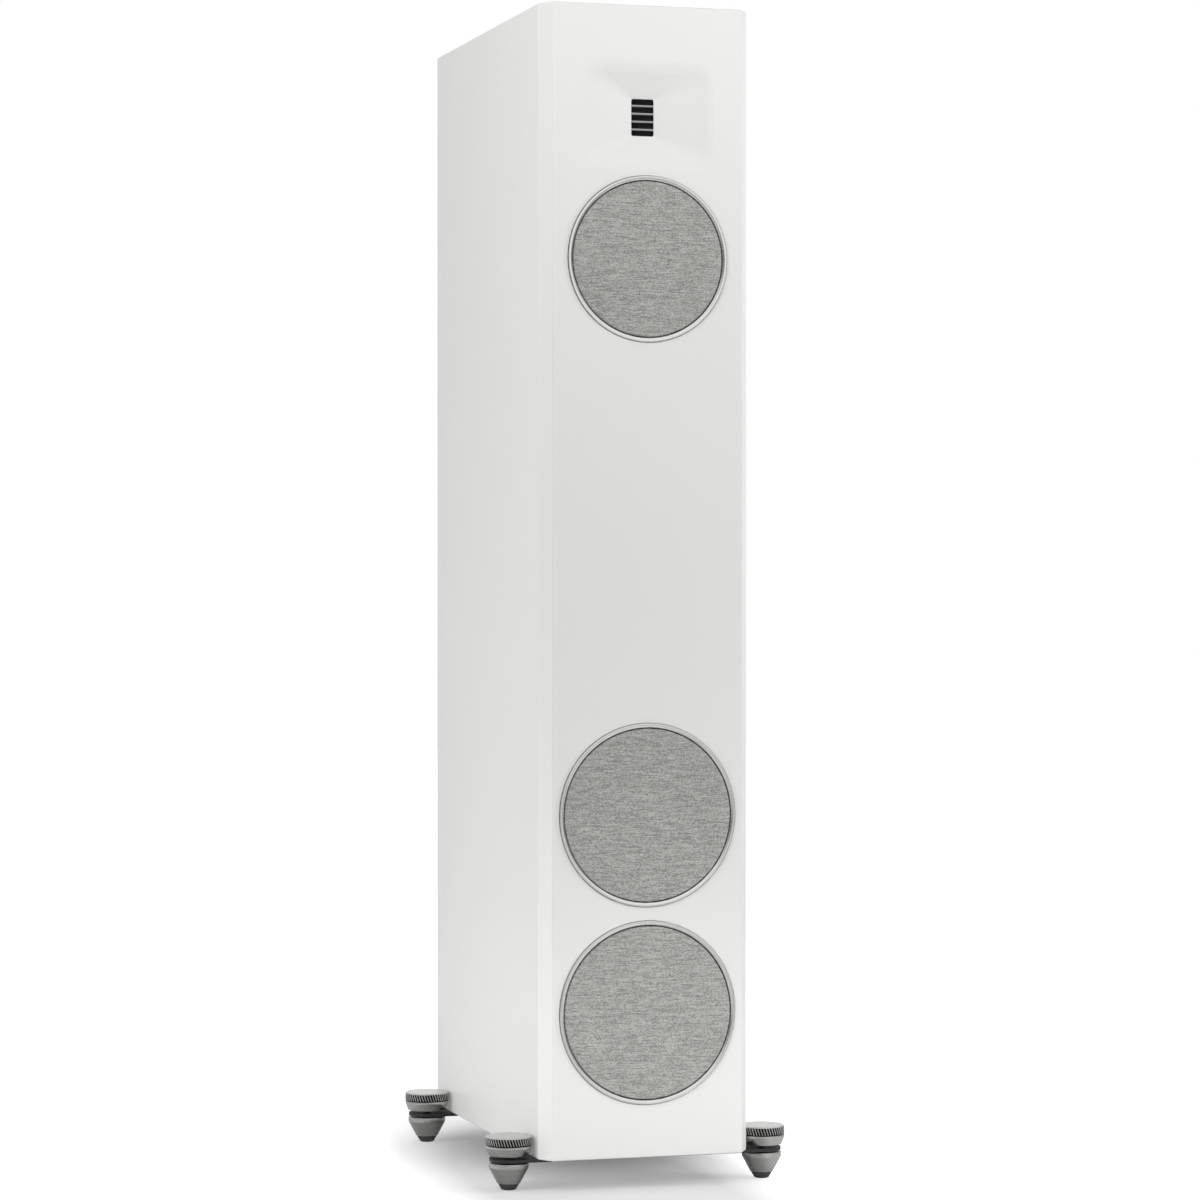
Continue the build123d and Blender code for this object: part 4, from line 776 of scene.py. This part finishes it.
class SPEAKER_OT_feet(bpy.types.Operator):
    """Turns the four feet: fluted cap, cone, rubber tip and the stud between them"""
    bl_idname = "speaker.feet"
    bl_label = "Feet"

    def execute(self, context):
        foot = context.scene.speaker_foot
        for name in FEET:
            place = middle_of(f"{name}_foot_knob") * (1, 1, 0)
            self.add_cap(foot, name, place, *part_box(f"{name}_foot_knob"))
            self.add_cone(foot, name, place, *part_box(f"{name}_foot_cone"))
            self.add_tip(foot, name, place, *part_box(f"{name}_foot_tip"))
        return {"FINISHED"}

    def add_cap(self, foot, name, place, low, high):
        """The flutes cut the upper band: a flattened wave in the angle, leaning with height.
        Their depth is kept as a value, so that painted shade makes the metal darker down in them."""
        radius, top, bottom = (high.x - low.x) / 2, high.z, low.z
        land_low = bottom + foot.taper
        groove_low = land_low + foot.land
        band_low = groove_low + foot.groove
        band_high = band_low + foot.flute_height
        inset = radius - foot.groove_depth
        middle, swing = 0.55, 1.2        # of the flutes' wave, which is cut off at 0 and 1
        rows, steps = 20, 12             # down the fluted band, and round each flute
        band = np.linspace(band_high, band_low, rows)
        band[1], band[-2] = band_high - 1.5 * SLIVER, band_low + 1.5 * SLIVER
        upper = rounded([(0, top), (radius * 0.5, top), (radius - foot.edge, top),
                         (radius, band_high)], [0, 0, 0.0006, 0], steps=4)[:-1]
        lower = rounded([(radius, band_low), (inset, band_low - SLIVER),
                         (inset, groove_low + SLIVER), (radius, groove_low), (radius, land_low),
                         (foot.waist, bottom), (foot.stud, bottom), (0, bottom)],
                        [0, 0, 0, 0.0003, 0.0012, 0.0006, 0, 0], steps=4)[1:]
        outline = np.concatenate([upper, np.stack([np.full(rows, radius), band], -1), lower])

        def depth(distance, angle):
            inside = (distance < band_high - SLIVER) & (distance > band_low + SLIVER)
            lean = (band_high - distance) * math.tan(foot.slant) / radius
            wave = np.cos(foot.flutes * (angle - lean))
            return inside * np.clip(middle + swing * wave, 0, 1)

        def fluted(r, distance, angle):
            return r - foot.flute_depth * depth(distance, angle) * (r > radius - TOUCH)

        mesh = turned(f"{name}_cap", outline, place, foot.flutes * steps, UP, fluted)
        # painted shade: the metal is darkened by depth down in the flutes and the turned groove
        mark_painted_shade(mesh, lambda x, y, z: (z < band_high) * (z > groove_low) * (
            radius - np.hypot(x - place[0], y - place[1])) / foot.flute_depth)
        add_piece(mesh, "Gunmetal", f"{name}_screw", f"{name}_foot_knob")

    def add_cone(self, foot, name, place, low, high):
        """The cone, and the stud above it, whose thread is a triangle wave of the height less
        the share of a turn."""
        radius, base, stud_top = (high.x - low.x) / 2, low.z, high.z
        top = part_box("front_outrigger")[0].z - foot.gap
        chamfer, plain, rows = 0.0006, 0.0002, 110
        outline = np.concatenate([
            [(0, stud_top), (foot.stud - chamfer, stud_top)],
            np.stack([np.full(rows, foot.stud),
                      np.linspace(stud_top - plain, top + plain + SLIVER, rows)], -1),
            rounded([(foot.stud, top), (radius * 0.6, top), (radius, top),
                     (radius, top - foot.rim), (foot.cone_end, base), (0, base)],
                    [0, 0, 0.0007, 0.0016, 0.0004, 0], steps=5),
        ])

        def threaded(r, distance, angle):
            turns = distance / foot.pitch - angle / TURN
            wave = 2 * np.abs(turns - np.floor(turns) - 0.5)
            cut = (distance > top + plain) & (r > foot.stud - TOUCH)
            return r - foot.thread * foot.pitch * wave * cut

        mesh = turned(f"{name}_spike", outline, place, 120, UP, threaded)
        add_piece(mesh, "Gunmetal", f"{name}_screw", f"{name}_foot_cone")

    def add_tip(self, foot, name, place, low, high):
        """The rubber tip, an upright band over a cone that ends flat on the floor."""
        side, band, edge = (high.x - low.x) / 2 - 2 * SLIVER, 0.0008, 0.0006
        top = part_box(f"{name}_foot_cone")[0].z - SLIVER
        outline = rounded(
            [(0, top), (side, top), (side, top - band), (foot.tip_end + band, low.z + edge),
             (foot.tip_end - edge, low.z), (0, low.z)],
            [0, 0.0004, 0.0004, 0.0008, 0.0006, 0], steps=5,
        )
        mesh = turned(f"{name}_rubber", outline, place, 96, UP)
        add_piece(mesh, "Tip rubber", f"{name}_tip", f"{name}_foot_tip")


class SPEAKER_OT_rear(bpy.types.Operator):
    """Finishes the reflex ports, terminal cup and binding posts"""
    bl_idname = "speaker.rear"
    bl_label = "Rear fittings"

    def execute(self, context):
        finish_nodes("Moulded black", "terminal_cup", "lower_reflex_port",
                     "upper_reflex_port")
        finish_nodes("Gold plate", "binding_posts", "red_post_washer",
                     "black_post_washer")
        finish_nodes("Red plastic", "red_post_knob")
        finish_nodes("Black plastic", "black_post_knob")
        return {"FINISHED"}


class SPEAKER_OT_stage(bpy.types.Operator):
    """Sets the white floor, the soft lamps and the camera"""
    bl_idname = "speaker.stage"
    bl_label = "Stage"

    def execute(self, context):
        scene = context.scene
        self.add_floor(scene)
        self.add_world(scene)
        for name, (place, aim, size, power) in LAMPS.items():
            self.add_lamp(scene, name, place, aim, size, power * scene.speaker_stage.power)
        self.add_camera(scene)
        scene.view_settings.view_transform = "Standard"
        return {"FINISHED"}

    def add_floor(self, scene):
        """A soft shadow is painted under the speaker, in the floor's colour and in a glow that only
        the camera sees, and the floor turns white beyond it.
        """
        mesh = bpy.data.meshes.new("floor")
        mesh.from_pydata([(x * FLOOR_HALF, y * FLOOR_HALF, 0)
                          for x, y in ((-1, -1), (1, -1), (1, 1), (-1, 1))], [], [(0, 1, 2, 3)])
        floor = bpy.data.objects.new("floor", mesh)
        scene.collection.objects.link(floor)
        tree, shader = start_material("Painted shadow floor", Roughness=0.9, Specular_IOR_Level=0.1)
        # painted shadow: the ovals set the floor's grey and a glow that only the camera sees
        reach = self.distance(tree, *PAINTED_SHADOW_OVAL)
        painted_shadow = ranged(tree, self.distance(tree, *PAINTED_SHADOW_CORE), 0.0, 1.0, PAINTED_SHADOW_DEEPEST,
                       interpolation_type="SMOOTHSTEP")
        grey, painted_glow = [maths(tree, "MULTIPLY", self.grey_ramp(tree, reach, stops), painted_shadow)
                      for stops in (PAINTED_SHADOW_GREYS, PAINTED_GLOW_GREYS)]
        seen = node(tree, "ShaderNodeLightPath").outputs["Is Camera Ray"]
        glow = node(tree, "ShaderNodeEmission", [("Color", (1, 1, 1, 1)),
                    ("Strength", maths(tree, "MULTIPLY", painted_glow, seen))])
        total = node(tree, "ShaderNodeAddShader", [(0, shader.outputs[0]), (1, glow.outputs[0])])
        tree.links.new(grey, shader.inputs["Base Color"])
        tree.links.new(total.outputs[0], tree.nodes["Material Output"].inputs["Surface"])
        mesh.materials.append(material_of("Painted shadow floor"))

    def distance(self, tree, offset, scale):
        """Distance from a point on the floor, in an oval's half widths."""
        oval = node(tree, "ShaderNodeMapping", [("Vector", object_place(tree)),
                    ("Location", offset), ("Scale", scale)])
        return node(tree, "ShaderNodeVectorMath", [(0, oval.outputs[0])],
                    operation="LENGTH").outputs["Value"]

    def grey_ramp(self, tree, value, stops):
        """A grey that runs through the stops, each a position and a brightness."""
        made = node(tree, "ShaderNodeValToRGB", [(0, value)])
        elements = made.color_ramp.elements
        while len(elements) < len(stops):
            elements.new(0.5)
        for element, (position, grey) in zip(elements, stops):
            element.position, element.color = position, (grey, grey, grey, 1)
        return made.outputs["Color"]

    def add_world(self, scene):
        """Even light from all round, seen as white. Metal shows a white top, back and front,
        with dimmer sides between them."""
        world = bpy.data.worlds.new("White studio")
        world.use_nodes = True
        tree = world.node_tree
        background = tree.nodes["Background"]
        background.inputs["Color"].default_value = (1, 1, 1, 1)
        direction = node(tree, "ShaderNodeTexCoord").outputs["Generated"]
        bright = 0.0
        for way, low, high in WHITE_WALLS:
            facing = node(tree, "ShaderNodeVectorMath", [(0, direction), (1, way)],
                          operation="DOT_PRODUCT").outputs["Value"]
            bright = maths(tree, "MAXIMUM", bright, ranged(tree, facing, low, high))
        shown = ranged(tree, bright, 0.0, 1.0, scene.speaker_stage.sides)
        path = node(tree, "ShaderNodeLightPath").outputs
        mirrored = maths(tree, "MAXIMUM", path["Is Glossy Ray"], path["Is Transmission Ray"])
        strength = ranged(tree, mirrored, 0.0, 1.0, scene.speaker_stage.ambient, shown)
        strength = ranged(tree, path["Is Camera Ray"], 0.0, 1.0, strength)
        tree.links.new(strength, background.inputs["Strength"])
        scene.world = world

    def add_lamp(self, scene, name, place, aim, size, power):
        light = bpy.data.lights.new(name, "AREA")
        light.shape = "RECTANGLE"
        light.size, light.size_y = size
        light.energy = power
        light.use_shadow = "strip" not in name
        lamp = bpy.data.objects.new(name, light)
        lamp.location = place
        lamp.rotation_euler = (Vector(aim) - Vector(place)).to_track_quat("-Z", "Y").to_euler()
        lamp.visible_camera = False
        lamp.visible_glossy = False
        scene.collection.objects.link(lamp)

    def add_camera(self, scene):
        camera = bpy.data.cameras.new("Camera")
        camera.lens = CAMERA_LENS
        camera.sensor_width = CAMERA_SENSOR
        camera.shift_y = CAMERA_SHIFT
        viewer = bpy.data.objects.new("Camera", camera)
        viewer.location = CAMERA_PLACE
        viewer.rotation_euler = CAMERA_TURN
        scene.collection.objects.link(viewer)
        scene.camera = viewer


class SPEAKER_PT_panel(bpy.types.Panel):
    """Lists the speaker's pieces and their settings"""
    bl_label = "Speaker"
    bl_idname = "SPEAKER_PT_panel"
    bl_space_type = "VIEW_3D"
    bl_region_type = "UI"
    bl_category = "Speaker"

    def draw(self, context):
        for operator in OPERATORS:
            self.layout.operator(operator.bl_idname)
        for name, group in SETTINGS.items():
            box = self.layout.box()
            box.label(text=group.__name__.replace("Settings", ""))
            for prop in group.__annotations__:
                box.prop(getattr(context.scene, name), prop)


SETTINGS = {
    "speaker_cabinet": CabinetSettings,
    "speaker_trim": TrimSettings,
    "speaker_grille": GrilleSettings,
    "speaker_tweeter": TweeterSettings,
    "speaker_driver": DriverSettings,
    "speaker_foot": FootSettings,
    "speaker_stage": StageSettings,
}
OPERATORS = (SPEAKER_OT_finishes, SPEAKER_OT_cabinet, SPEAKER_OT_trim_rings,
             SPEAKER_OT_grilles, SPEAKER_OT_tweeter, SPEAKER_OT_drivers, SPEAKER_OT_feet,
             SPEAKER_OT_rear, SPEAKER_OT_stage)


def register():
    for group in (*SETTINGS.values(), *OPERATORS, SPEAKER_PT_panel):
        bpy.utils.register_class(group)
    for name, group in SETTINGS.items():
        setattr(bpy.types.Scene, name, PointerProperty(type=group))


def unregister():
    for name in SETTINGS:
        delattr(bpy.types.Scene, name)
    for group in (SPEAKER_PT_panel, *OPERATORS[::-1], *SETTINGS.values()):
        bpy.utils.unregister_class(group)


def main():
    register()
    bpy.ops.speaker.finishes()
    bpy.ops.speaker.cabinet()
    bpy.ops.speaker.trim_rings()
    bpy.ops.speaker.grilles()
    bpy.ops.speaker.tweeter()
    bpy.ops.speaker.drivers()
    bpy.ops.speaker.feet()
    bpy.ops.speaker.rear()
    bpy.ops.speaker.stage()


if __name__ == "__main__":
    main()
